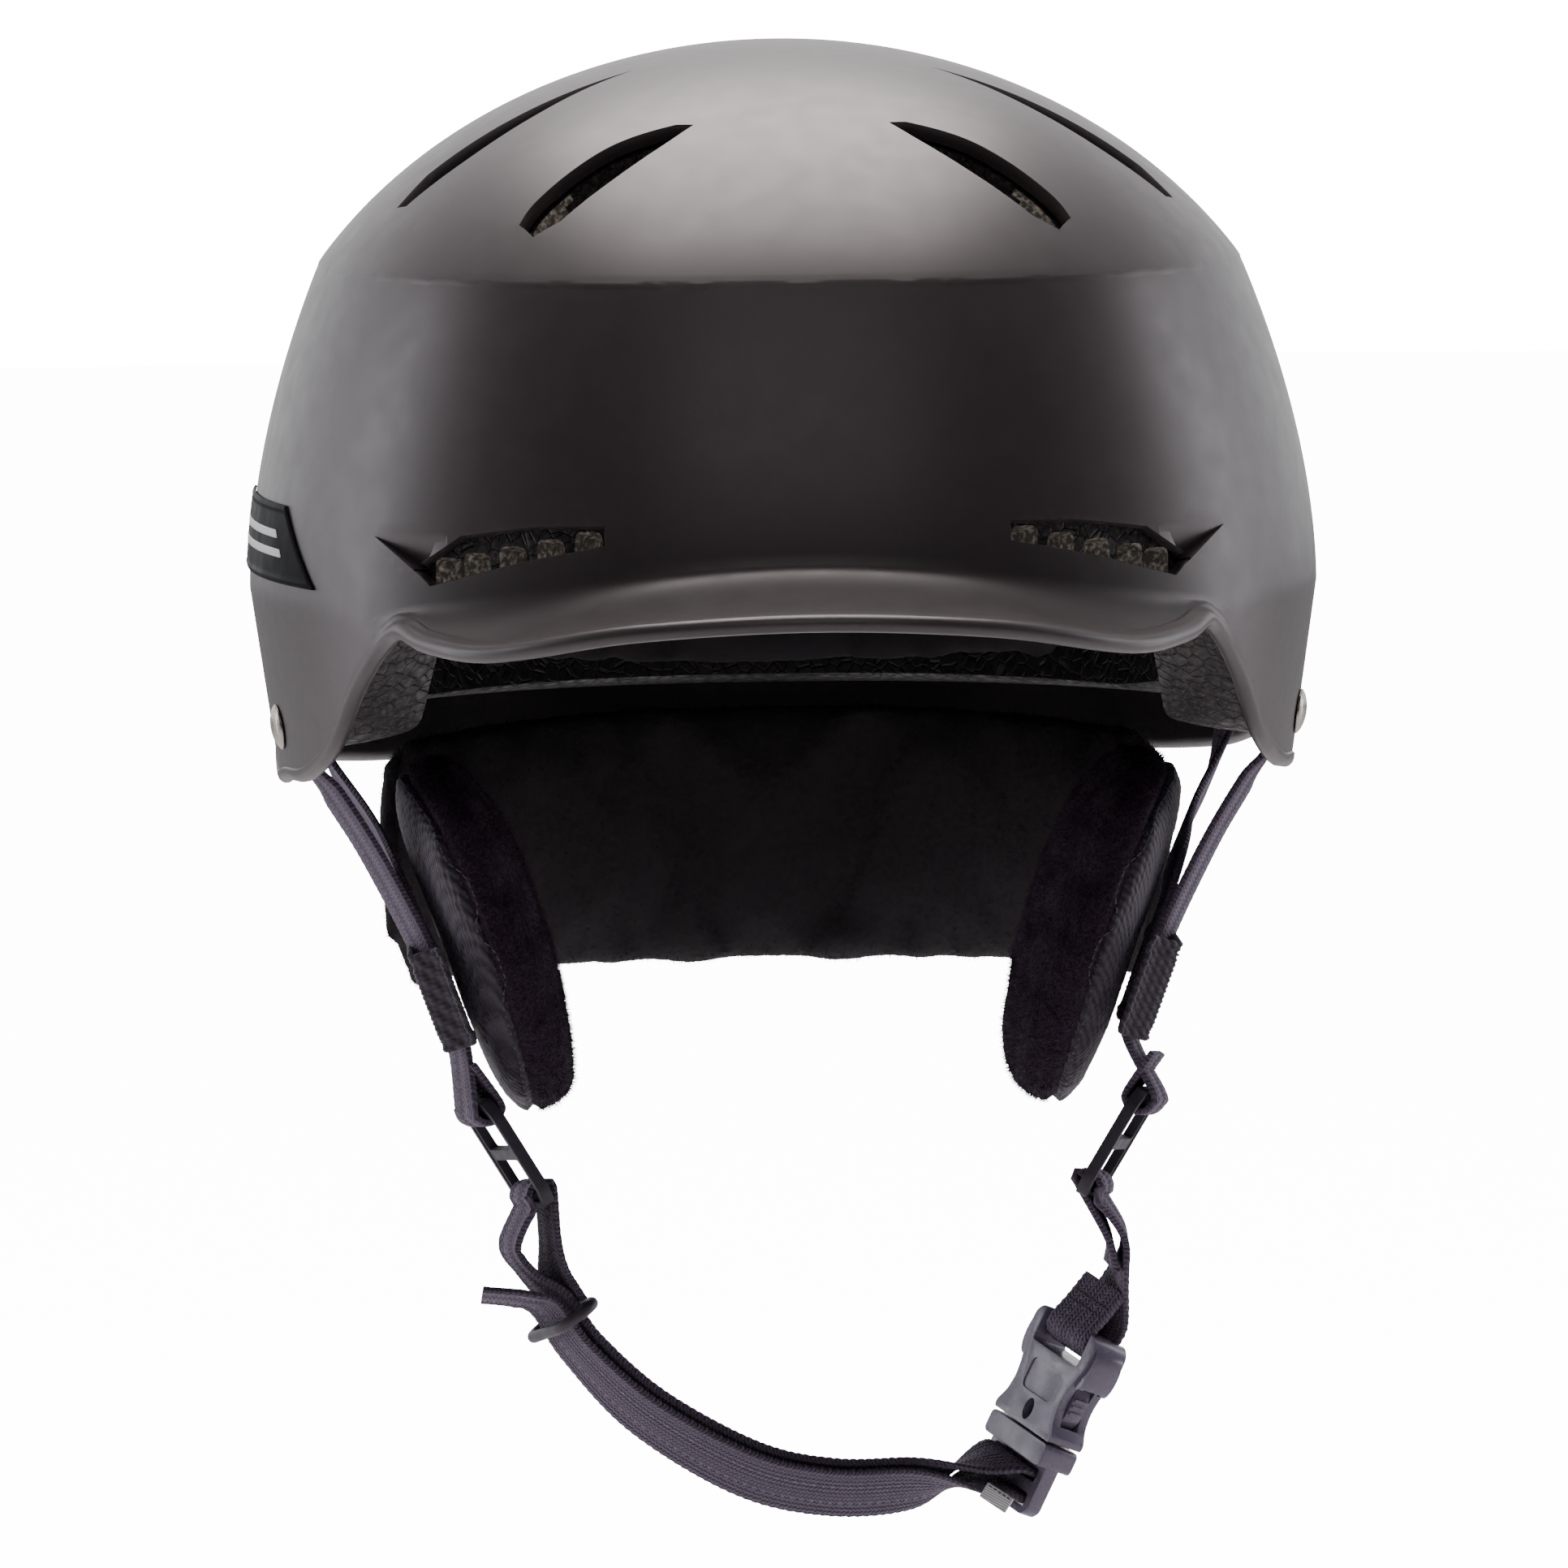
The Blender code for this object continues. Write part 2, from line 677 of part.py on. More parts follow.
def neck_point(angle, z, out=0.0):
    """Outer face of the neck panel, drawn in towards its lower hem."""
    share = NECK_SHARE - NECK_TAPER * (NECK_TOP_Z - z)
    radius = plan_radius(angle) * share + out
    return Vector((radius * math.sin(angle), -radius * math.cos(angle), z))



def neck_panel():
    """Soft fleece panel behind the neck."""
    def place(u, v):
        angle, height = rounded(u, v, math.radians(66), (NECK_TOP_Z - NECK_HEM_Z) / 2)
        return neck_point(math.pi + angle, (NECK_TOP_Z + NECK_HEM_Z) / 2 + height)

    solidify(sheet("neck_panel", place, 22, 6, FLEECE_FINISH), NECK_THICKNESS, -1.0)


def flap_axes(side):
    """Directions along an ear flap (up) and away from the head."""
    up = Vector((side * math.sin(FLAP_TILT), 0, math.cos(FLAP_TILT)))
    out = Vector((side * math.cos(FLAP_TILT), 0, -math.sin(FLAP_TILT)))
    return up, out


def flap_point(side, depth, along, out_by):
    """Point in an ear flap: depth back from its middle, along its length and out from its mid face."""
    up, out = flap_axes(side)
    centre = Vector((side * FLAP_CENTRE[0], FLAP_CENTRE[1] + depth, FLAP_CENTRE[2]))
    curl = 5.0 * (depth / FLAP_HALF_DEPTH) ** 2
    return centre + up * along + out * (out_by - curl)


def ear_flap(side, word):
    """Padded flap, from a sphere flattened and squared off."""
    bm = bmesh.new()
    bmesh.ops.create_uvsphere(bm, u_segments=24, v_segments=10, radius=1)
    for vert in bm.verts:
        across, along, face = vert.co
        rim = math.hypot(across, along)
        turn = math.atan2(along, across)
        square = (abs(math.cos(turn)) ** 2.8 + abs(math.sin(turn)) ** 2.8) ** (-1 / 2.8)
        spread = rim ** 0.6 * square
        height = FLAP_HALF_LENGTH * spread * math.sin(turn)
        narrowing = 1 - 0.2 * smooth_step(-height / FLAP_HALF_LENGTH)
        depth = FLAP_HALF_DEPTH * spread * math.cos(turn) * narrowing
        out = FLAP_THICKNESS / 2 * math.copysign(abs(face) ** 0.6, face)
        vert.co = flap_point(side, depth, height, out)
    bm.normal_update()
    bmesh.ops.recalc_face_normals(bm, faces=bm.faces)
    pad = link_mesh(f"ear_pad_{word}", bm, FLEECE_FINISH)
    hang_on(f"ear_hinge_{word}", flap_point(side, 0, FLAP_HINGE_REACH, 0), [pad])


SLEEVE_MIDDLE = -19.5
SLEEVE_LIFT = 5.0
SLEEVE_HALF_WIDTH = 13.5
SLEEVE_TOP = 2.0
SLEEVE_BOTTOM = -13.0
SLEEVE_THICKNESS = 1.2


def strap_sleeve(side, word):
    """Sewn loop on the outside of the flap that the straps run through."""
    def place(u, v):
        offset = (2 * u - 1) * SLEEVE_HALF_WIDTH
        lift = smooth_step((SLEEVE_HALF_WIDTH - abs(offset)) / 4.5)
        pad_slope = (1 - lift) * offset / SLEEVE_HALF_WIDTH
        out = FLAP_THICKNESS / 2 + 1.0 + pad_slope + SLEEVE_LIFT * lift
        along = SLEEVE_BOTTOM + (SLEEVE_TOP - SLEEVE_BOTTOM) * v
        return flap_point(side, SLEEVE_MIDDLE, along, out) + Vector((0, offset, 0))

    band = sheet(f"strap_sleeve_{word}", place, 12, 2, WEB_FINISH, flip=side < 0)
    solidify(band, SLEEVE_THICKNESS, 1.0)


# ---------------------------------------------------------------- straps

def divider_frame(side):
    """Centre, downward and outward directions of a strap divider."""
    centre = Vector((side * DIVIDER_X[side], DIVIDER_Y, DIVIDER_Z))
    down = Vector((-side * math.sin(DIVIDER_TILT), 0, -math.cos(DIVIDER_TILT)))
    out = Vector((side * math.cos(DIVIDER_TILT), 0, -math.sin(DIVIDER_TILT)))
    return centre, down, out


def front_strap(side, word):
    """Webbing from the front rivet down the flap and around the divider's top bar."""
    frame = rivet_frame(side, "front")
    across = frame.to_3x3() @ Vector((side, 0, 0))
    centre, down, out = divider_frame(side)
    top_bar = centre - down * DIVIDER_BAR
    fore = (0, 1, 0)
    start = frame @ Vector((0, 7.5 * MM, -4.5 * MM)) / MM
    below = frame @ Vector((0, -7 * MM, -4.5 * MM)) / MM
    stations = [(start, across), (below, across)]
    stations.append(((side * 91.5, -31.5, 0.0), fore))
    stations.append(((side * 84.0, -33.5, -12.0), fore))
    stations.append((flap_point(side, SLEEVE_MIDDLE, 4.0, FRONT_STRAP_OUT), fore))
    stations.append((flap_point(side, SLEEVE_MIDDLE, -10.0, FRONT_STRAP_OUT), fore))
    stations.append((flap_point(side, SLEEVE_MIDDLE, -17.0, FRONT_STRAP_OUT), fore))
    stations.extend((point, fore) for point in wrap(top_bar, down, out, -50, 180, steps=5))
    stations.append((top_bar - down * 9 - out * (WRAP_RADIUS - 0.6), fore))
    strap = ribbon(f"strap_front_{word}", stations, WEB_FINISH)
    cut(strap, rivet_holes[side, "front"])


def rear_strap(side, word):
    """Webbing from the rear rivet, forward over the flap and down into the sleeve."""
    frame = rivet_frame(side, "rear")
    facing = frame.to_3x3() @ Vector((0, 0, 1))
    _, out = flap_axes(side)
    run = [(frame @ Vector((0, 7.5 * MM, -4.5 * MM)) / MM, facing),
           (frame @ Vector((0, -7 * MM, -4.5 * MM)) / MM, facing),
           (Vector((side * 91.5, 33.0, -3.0)), facing + out),
           (flap_point(side, 22.0, 22.0, REAR_STRAP_OUT + 4), out),
           (flap_point(side, -6.0, 15.0, REAR_STRAP_OUT + 0.3), out),
           (flap_point(side, SLEEVE_MIDDLE, 3.0, REAR_STRAP_OUT), out),
           (flap_point(side, SLEEVE_MIDDLE, -11.0, REAR_STRAP_OUT), out)]
    stations = []
    for index, (point, normal) in enumerate(run):
        before, after = run[max(index - 1, 0)][0], run[min(index + 1, len(run) - 1)][0]
        stations.append((point, normal.cross(after - before)))
    strap = ribbon(f"strap_rear_{word}", stations, WEB_FINISH, samples=3)
    cut(strap, rivet_holes[side, "rear"])


def slot(middle_y, height, width=WEB_WIDTH + 1.8):
    """Rectangular slot as an outline."""
    x, y = width / 2, height / 2
    return ((-x, middle_y - y), (x, middle_y - y), (x, middle_y + y), (-x, middle_y + y))


def divider(side, word):
    """Slotted hexagonal plate that joins the side straps to the chin loop."""
    centre, down, out = divider_frame(side)
    across = down.cross(out)
    place = Matrix.Translation(centre * MM) @ Matrix((across, down, out)).transposed().to_4x4()
    outline = ((-8.5, -12.3), (8.5, -12.3), (11.3, -9.0), (11.3, 9.0), (8.5, 12.3),
               (-8.5, 12.3), (-11.3, 9.0), (-11.3, -9.0))
    holes = (slot(-5.6, 6.6), slot(5.6, 6.6))
    return plate(f"divider_{word}", outline, holes, 2.4, place, PLASTIC_FINISH)


def chin_tilt(point, before, after, degrees):
    """Direction across the chin webbing: its front edge is raised by an angle."""
    tangent = (Vector(after) - Vector(before)).normalized()
    rise = Vector((0, 1, 0)).cross(tangent)
    turn = math.radians(degrees)
    if rise.z < 0:
        rise = -rise
    return Vector((0, -math.cos(turn), 0)) + rise * math.sin(turn)


CHIN_LINE = (
    ((-48.5, -40.0, -101.6), 28), ((-42.6, -40.5, -110.4), 30), ((-29.7, -42.0, -123.4), 40),
    ((-10.3, -44.0, -134.8), 47), ((6.0, -45.0, -138.6), 48), ((22.0, -44.5, -138.2), 42),
)
KEEPER_CENTRE = Vector((-46.4, -40.1, -104.8))
KEEPER_RUN = Vector((0.56, -0.03, -0.83)).normalized()
LAYER_STEP = 2.7
CHIN_HINGE = (0.0, -36.5, -50.0)


def chin_stations():
    """Chin webbing under the chin: point and direction across it."""
    points = [Vector(point) for point, _ in CHIN_LINE]
    stations = []
    for index, (_, degrees) in enumerate(CHIN_LINE):
        before, after = points[max(index - 1, 0)], points[min(index + 1, len(points) - 1)]
        stations.append((points[index], chin_tilt(points[index], before, after, degrees)))
    return stations


def face_normal(stations, index):
    """Direction out of the webbing's lower front face."""
    before, after = stations[max(index - 1, 0)][0], stations[min(index + 1, len(stations) - 1)][0]
    normal = (after - before).cross(stations[index][1]).normalized()
    return -normal if normal.z > 0 else normal


def buckle_point(across, down, back):
    """Point in the buckle's own directions."""
    side = BUCKLE_DOWN.cross(BUCKLE_BACK)
    return BUCKLE_CENTRE + side * across + BUCKLE_DOWN * down + BUCKLE_BACK * back


def chin_webbing():
    """Webbing from the right divider under the chin, through the plug and back to the keeper."""
    centre, down, out = divider_frame(-1)
    bar = centre + down * DIVIDER_BAR
    fore = Vector((0, -1, 0))
    line = chin_stations()
    stations = [(Vector((-46.8, -40.0, -97.0)), fore), (Vector((-47.6, -40.0, -90.0)), fore)]
    stations.extend((point, fore) for point in wrap(bar, down, out, 190, 370, steps=6))
    stations.append((Vector((-57.6, -40.0, -90.5)), fore))
    stations.append((Vector((-54.4, -40.0, -95.8)), fore))
    stations.extend(line)
    leave = -(BUCKLE_DOWN.cross(BUCKLE_BACK))
    ladder_bar = buckle_point(0, LADDER_BAR, 0)
    stations.append((buckle_point(0, 16.2, 7.0), leave))
    stations.extend((point, leave) for point in wrap(ladder_bar, BUCKLE_DOWN, BUCKLE_BACK, -65, -290, 6, 3.2))
    stations.append((buckle_point(0, 21.6, 7.0), leave))
    for index in reversed(range(len(line))):
        point, direction = line[index]
        stations.append((point + face_normal(line, index) * LAYER_STEP, direction))
    stations.append((Vector((-55.5, -42.5, -100.8)), line[0][1]))
    stations.append((Vector((-63.5, -42.5, -99.8)), line[0][1]))
    return ribbon("chin_webbing", stations, WEB_FINISH)


def strap_keeper():
    """Round-section ring that holds the loose end against the chin webbing."""
    line = chin_stations()
    across = line[0][1] - KEEPER_RUN * line[0][1].dot(KEEPER_RUN)
    across.normalize()
    normal = face_normal(line, 0)
    normal = (normal - KEEPER_RUN * normal.dot(KEEPER_RUN)).normalized()
    middle = KEEPER_CENTRE + normal * LAYER_STEP / 2
    radius, half_run = 4.6, WEB_WIDTH / 2 - 2.0
    points = []
    for step in range(16):
        turn = 2 * math.pi * (step + 0.5) / 16
        shift = math.copysign(half_run, math.cos(turn))
        points.append(middle + across * (shift + radius * math.cos(turn)) + normal * radius * math.sin(turn))
    return tube("strap_keeper", points, 1.1, PLASTIC_FINISH, cyclic=True)


def buckle_strap():
    """Short webbing from the left divider to the buckle socket."""
    centre, down, out = divider_frame(1)
    bar = centre + down * DIVIDER_BAR
    fore = Vector((0, 1, 0))
    side = BUCKLE_DOWN.cross(BUCKLE_BACK)
    stations = [(bar - out * 2.6 - down * -9.0, fore)]
    stations.extend((point, fore) for point in wrap(bar, down, out, 190, 370, steps=6))
    stations.append((Vector((65.5, -40.0, -90.0)), fore + side * 0.3))
    stations.append((Vector((65.0, -40.0, -97.0)), fore + side * 0.8))
    socket_bar = buckle_point(0, SOCKET_BAR, 0)
    stations.append((buckle_point(0, -19.0, -3.8), side))
    stations.extend((point, side) for point in wrap(socket_bar, BUCKLE_DOWN, BUCKLE_BACK, 180, 0, radius=3.4))
    stations.append((buckle_point(0, -22.0, 3.8), side))
    return ribbon("buckle_strap", stations, WEB_FINISH)


# ---------------------------------------------------------------- buckle

def buckle_frame(across=0.0, down=0.0, back=0.0):
    """Matrix with X across the buckle, Y towards the plug end and Z out of its back."""
    side = BUCKLE_DOWN.cross(BUCKLE_BACK)
    axes = Matrix((side, BUCKLE_DOWN, BUCKLE_BACK)).transposed().to_4x4()
    return Matrix.Translation(buckle_point(across, down, back) * MM) @ axes


SOCKET_TOP = -15.0
SOCKET_BAR = -13.45
SOCKET_END = 8.0
PLUG_BASE_END = 13.4
LADDER_END = 24.0
LADDER_BAR = 18.35
LADDER_THICKNESS = 3.4


def span(low, high):
    """Middle and length of a stretch."""
    return (low + high) / 2, high - low


def buckle_socket():
    """Socket half: a flat sleeve with a strap bar, open at the sides for the prongs."""
    middle, length = span(SOCKET_TOP, SOCKET_END)
    socket = block("buckle_socket", (BUCKLE_WIDTH, length, BUCKLE_DEPTH), buckle_frame(down=middle), PLASTIC_FINISH)
    bevel(socket, 1.4)
    cavity_middle, cavity_length = span(-6.0, SOCKET_END + 2)
    cut(socket, cut_block("socket_cavity", (18.4, cavity_length, 4.6), buckle_frame(down=cavity_middle)))
    slot_middle, slot_length = span(-11.9, -7.8)
    cut(socket, cut_block("socket_strap_slot", (WEB_WIDTH + 1.8, slot_length, 20), buckle_frame(down=slot_middle)))
    for sign, word in ((-1, "front"), (1, "back")):
        relief = buckle_frame(down=SOCKET_BAR, back=sign * 3.6)
        cut(socket, cut_block(f"socket_bar_relief_{word}", (WEB_WIDTH + 1.8, 5, 4), relief))
    window_middle, window_length = span(-4.5, 4.5)
    cut(socket, cut_block("socket_windows", (40, window_length, 4.6), buckle_frame(down=window_middle)))
    for sign in (-1, 1):
        waist = buckle_frame(across=sign * (BUCKLE_WIDTH / 2 + 8.6), down=0.5)
        cut(socket, cut_cylinder(f"socket_waist_{'b' if sign > 0 else 'a'}", 11.0, 20, waist))
    return socket


def buckle_plug():
    """Plug half: base, centre guide and slotted end for adjusting the webbing."""
    middle, length = span(SOCKET_END + CLEAR, LADDER_END)
    plug = block("buckle_plug", (BUCKLE_WIDTH - 1, length, LADDER_THICKNESS), buckle_frame(down=middle),
                 PLASTIC_FINISH)
    base_middle, base_length = span(SOCKET_END + CLEAR, PLUG_BASE_END)
    base = cut_block("plug_base", (BUCKLE_WIDTH - 0.4, base_length, BUCKLE_DEPTH - 0.4), buckle_frame(down=base_middle))
    join(plug, base)
    guide_middle, guide_length = span(-4.5, SOCKET_END + 2)
    join(plug, cut_block("plug_guide", (4.6, guide_length, 3.6), buckle_frame(down=guide_middle)))
    for index, (low, high) in enumerate(((14.2, 17.1), (19.6, 22.5))):
        slot_middle, slot_length = span(low, high)
        size = (WEB_WIDTH + 1.6, slot_length, 20)
        cut(plug, cut_block(f"ladder_slot_{index + 1}", size, buckle_frame(down=slot_middle)))
    return plug


PRONG_OUTLINE = ((3.6, 7.9), (6.2, 7.9), (7.6, 5.0), (8.7, 2.5), (8.9, -1.5), (8.0, -4.6), (6.4, -5.4),
                 (5.6, -4.0), (5.6, 2.0), (4.4, 5.2))
PRONG_ROOT = (4.9, 7.9)
PRONG_THICKNESS = 3.8


def buckle_prongs(plug):
    """Two springy arms that are squeezed to let the plug out."""
    for sign, word in ((-1, "a"), (1, "b")):
        outline = [(sign * x, y) for x, y in PRONG_OUTLINE]
        prong = plate(f"buckle_prong_{word}", outline, (), PRONG_THICKNESS, buckle_frame(), PLASTIC_FINISH)
        root = buckle_point(sign * PRONG_ROOT[0], PRONG_ROOT[1], 0)
        hang_on(f"prong_hinge_{word}", root, [prong], plug)


# ---------------------------------------------------------------- rear fit reel

def reel_frame():
    """Frame on the outer face of the neck panel: local Z points back, square to the panel."""
    back = neck_point(math.pi, REEL_Z).y + REEL_BACK_GAP
    lean = math.atan(NECK_TAPER * BACK_DEPTH)
    return Matrix.Translation((0, back * MM, REEL_Z * MM)) @ Matrix.Rotation(-math.pi / 2 - lean, 4, "X")


def fit_reel():
    """Housing, lace spool and turning knob."""
    frame = reel_frame()
    housing = ((0, 2.5), (12.0, 2.5), (12.0, 8.0), (14.0, 8.0), (14.6, 3.0), (17.0, 2.0), (17.0, 0), (0, 0))
    turned("reel_housing", housing, frame, PLASTIC_FINISH, steps=32)
    spool = ((0, 13.0), (3.0, 13.0), (3.0, 8.0), (11.2, 8.0), (11.2, 7.2), (8.5, 6.4), (8.5, 4.4),
             (11.2, 3.6), (11.2, 3.0), (0, 3.0))
    turned("reel_spool", spool, frame, PLASTIC_FINISH)
    grip = ((0, 17.0), (11.5, 17.0), (14.0, 15.6), (15.0, 13.5), (15.2, 8.8), (3.4, 8.8), (3.4, 13.6), (0, 13.6))
    turned("reel_knob", grip, frame, PLASTIC_FINISH, steps=36)


LACE_START = 18.0
LACE_REACH = 42.0
LACE_END_Z = -6.0


def fit_laces():
    """Cords from the reel around the neck panel to an anchor on each side."""
    first = math.degrees(LACE_START / neck_point(math.pi, REEL_Z).y)
    for side, word in SIDES:
        points = []
        for step in range(11):
            share = step / 10
            turn = math.radians(first + (LACE_REACH - first) * share)
            z = REEL_Z + (LACE_END_Z - REEL_Z) * smooth_step(share)
            points.append(neck_point(math.pi - side * turn, z, 1.7))
        tube(f"fit_lace_{word}", points, 0.7, CORD_FINISH)
        angle = math.pi - side * math.radians(LACE_REACH + 5.0)
        spot = neck_point(angle, LACE_END_Z, 3.2)
        place = Matrix.Translation(spot * MM) @ Matrix.Rotation(angle, 4, "Z")
        bevel(block(f"lace_anchor_{word}", (11, 2.6, 8), place, PLASTIC_FINISH), 0.8)


# ---------------------------------------------------------------- goggle strap holder

HOLDER_TOP_Z = 53.0
HOLDER_HINGE_Z = 43.0
HOLDER_BOTTOM_Z = 8.0
HOLDER_GAP = 2.4
HOLDER_THICKNESS = 2.2


def holder_strip(name, high_z, low_z, width, rows):
    """Rubber strip down the back of the shell."""
    def place(u, v):
        z = low_z + (high_z - low_z) * v
        point = wall_point(math.pi, z, HOLDER_GAP)
        return point + Vector(((0.5 - u) * width, 0, 0))

    return solidify(sheet(name, place, 3, rows, RUBBER_FINISH), HOLDER_THICKNESS, 1.0)


def goggle_holder(shell):
    """Strip with a press stud that keeps a goggle strap on the back of the shell."""
    anchor = holder_strip("goggle_anchor", HOLDER_TOP_Z, HOLDER_HINGE_Z + 0.5, 17, 2)
    tab = holder_strip("goggle_tab", HOLDER_HINGE_Z, HOLDER_BOTTOM_Z, 17, 5)
    frame = surface_frame(math.pi, 48.0)
    hole = cut_cylinder("goggle_rivet_hole", 2.1, 18, frame)
    for obj in (shell, anchor):
        cut(obj, hole)
    face = HOLDER_GAP + HOLDER_THICKNESS + 0.5
    profile = ((0, face + 1.6), (3.0, face + 1.3), (4.6, face), (1.7, face), (1.7, -3.2), (0, -3.2))
    turned("goggle_rivet", profile, frame, METAL_FINISH)
    stud = surface_frame(math.pi, 15.0)
    low = ((0, 1.9), (3.4, 1.9), (5.5, 0.9), (5.5, CLEAR), (0, CLEAR))
    turned("snap_stud", low, stud, METAL_FINISH)
    cap = ((0, face + 1.6), (4.0, face + 1.4), (6.0, face + 0.5), (6.0, face), (0, face))
    snap_cap = turned("snap_cap", cap, stud, METAL_FINISH)
    hinge_point = wall_point(math.pi, HOLDER_HINGE_Z + 0.2, HOLDER_GAP + HOLDER_THICKNESS)
    hang_on("goggle_hinge", hinge_point, [tab, snap_cap])


# ---------------------------------------------------------------- build

for old in list(bpy.data.objects):
    bpy.data.objects.remove(old)
helmet = bpy.data.collections.new("ski_helmet")
cutters = bpy.data.collections.new("cutters")
bpy.context.scene.collection.children.link(helmet)
bpy.context.scene.collection.children.link(cutters)

SIDES = ((-1, "right"), (1, "left"))
SHELL_FINISH = finish("shell_satin", (0.115, 0.105, 0.098), 0.42)
FOAM_FINISH = finish("liner_foam", (0.045, 0.043, 0.045), 0.85)
FLEECE_FINISH = finish("fleece", (0.018, 0.015, 0.020), 0.95)
WEB_FINISH = finish("webbing", (0.045, 0.036, 0.048), 0.8)
PLASTIC_FINISH = finish("buckle_plastic", (0.055, 0.050, 0.058), 0.45)
METAL_FINISH = finish("rivet_metal", (0.52, 0.50, 0.47), 0.32, 1.0)
BADGE_FINISH = finish("badge_gloss", (0.012, 0.012, 0.014), 0.15)
CORD_FINISH = finish("lace_cord", (0.030, 0.028, 0.032), 0.6)
RUBBER_FINISH = finish("holder_rubber", (0.022, 0.021, 0.022), 0.7)
rivet_holes = {}

shell_body = outer_shell()
foam_body = foam_liner()
top_vents(shell_body, foam_body)
brow_vents(shell_body, foam_body)
rivets(shell_body, foam_body)
side_badge()
for pad in COMFORT_PADS:
    comfort_pad(*pad)
crown_pad()
neck_panel()
dividers = []
for flap_side, flap_word in SIDES:
    ear_flap(flap_side, flap_word)
    strap_sleeve(flap_side, flap_word)
    front_strap(flap_side, flap_word)
    rear_strap(flap_side, flap_word)
    dividers.append(divider(flap_side, flap_word))
loop_pieces = [*dividers, chin_webbing(), buckle_strap(), buckle_socket()]
plug_body = buckle_plug()
chin_hinge = hang_on("chin_hinge", CHIN_HINGE, loop_pieces + [plug_body])
buckle_prongs(plug_body)
hang_on("keeper_track", KEEPER_CENTRE, [strap_keeper()], chin_hinge)
fit_reel()
fit_laces()
goggle_holder(shell_body)
set_datum()
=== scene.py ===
"""Looks of the snow helmet: fine meshes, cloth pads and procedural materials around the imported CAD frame.

Lengths are in millimetres. Heights are counted from the shell's lower edge over the ears, as in the CAD
source, and become metres in the row frame when a mesh is made. The brim points to -Y.
"""
import math

import bmesh
import bpy
import numpy as np
from mathutils import Matrix, Vector, geometry
from mathutils.bvhtree import BVHTree


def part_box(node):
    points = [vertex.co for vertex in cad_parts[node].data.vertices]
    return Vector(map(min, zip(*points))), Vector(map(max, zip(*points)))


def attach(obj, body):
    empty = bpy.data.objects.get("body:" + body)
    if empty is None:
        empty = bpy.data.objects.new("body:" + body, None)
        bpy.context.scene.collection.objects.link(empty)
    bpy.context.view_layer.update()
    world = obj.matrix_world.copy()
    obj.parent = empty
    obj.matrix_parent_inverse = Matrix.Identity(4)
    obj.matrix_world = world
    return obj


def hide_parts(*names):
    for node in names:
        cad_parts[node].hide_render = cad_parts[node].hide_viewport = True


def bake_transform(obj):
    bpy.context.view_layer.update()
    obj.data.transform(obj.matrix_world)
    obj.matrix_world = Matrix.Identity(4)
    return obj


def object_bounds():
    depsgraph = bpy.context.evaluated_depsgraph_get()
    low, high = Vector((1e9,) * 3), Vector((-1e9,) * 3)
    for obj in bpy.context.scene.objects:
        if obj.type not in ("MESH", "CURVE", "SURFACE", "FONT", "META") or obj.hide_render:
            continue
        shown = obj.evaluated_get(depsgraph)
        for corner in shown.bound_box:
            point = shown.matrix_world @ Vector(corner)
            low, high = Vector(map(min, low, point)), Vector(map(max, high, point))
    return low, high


MM = 0.001
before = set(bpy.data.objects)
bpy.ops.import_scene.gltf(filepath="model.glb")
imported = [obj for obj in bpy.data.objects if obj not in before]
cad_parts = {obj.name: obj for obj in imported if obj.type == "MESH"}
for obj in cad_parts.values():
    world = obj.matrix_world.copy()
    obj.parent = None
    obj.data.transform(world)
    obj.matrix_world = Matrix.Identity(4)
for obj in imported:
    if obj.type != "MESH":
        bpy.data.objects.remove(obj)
CAD_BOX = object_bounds()
shell_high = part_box("outer_shell")[1]

# Driving sizes of the shell, which the CAD source shares
HALF_WIDTH = shell_high.x / MM
CROWN_Z = 149.0
DATUM_Z = CROWN_Z - shell_high.z / MM
FRONT_DEPTH, BACK_DEPTH, SQUARENESS = 125.0, 132.0, 2.2
BELT_Z, CREASE_Z, CREASE_SHARE = 40.0, 104.7, 0.862
LOWER_TAPER, WALL_BULGE = 0.052, 1.8
DOME_BASE_Z, DOME_CUT = 54.7, 0.8457
BRIM_ROOT_Z = 53.0
SHELL_WALL = 3.0
# Angle from the front, reach of the brim past the wall, height of the lower edge
SHELL_EDGE = (
    (0, 28.0, 45.5), (13, 24.5, 43.4), (26, 15.5, 38.0), (34, 8.0, 38.4), (40, 2.0, 39.6),
    (48, 0.0, 27.5), (55, 0.0, 14.0), (64, 0.0, 6.5), (74, 0.0, 4.5), (86, 0.0, 2.0),
    (100, 0.0, 6.0), (118, 0.0, 0.0), (140, 0.0, -4.0), (180, 0.0, -5.0),
)
FOAM_INSET, FOAM_THICKNESS = 3.8, 20.0
FOAM_EDGE = (
    (0, 0, 44.0), (30, 0, 43.0), (42, 0, 40.0), (49, 0, 34.0), (55, 0, 23.0), (61, 0, 13.0),
    (68, 0, 10.0), (80, 0, 10.0), (100, 0, 12.0), (125, 0, 8.0), (180, 0, 6.0),
)
SIDES = ((-1, "right"), (1, "left"))


# ---------------------------------------------------------------- materials

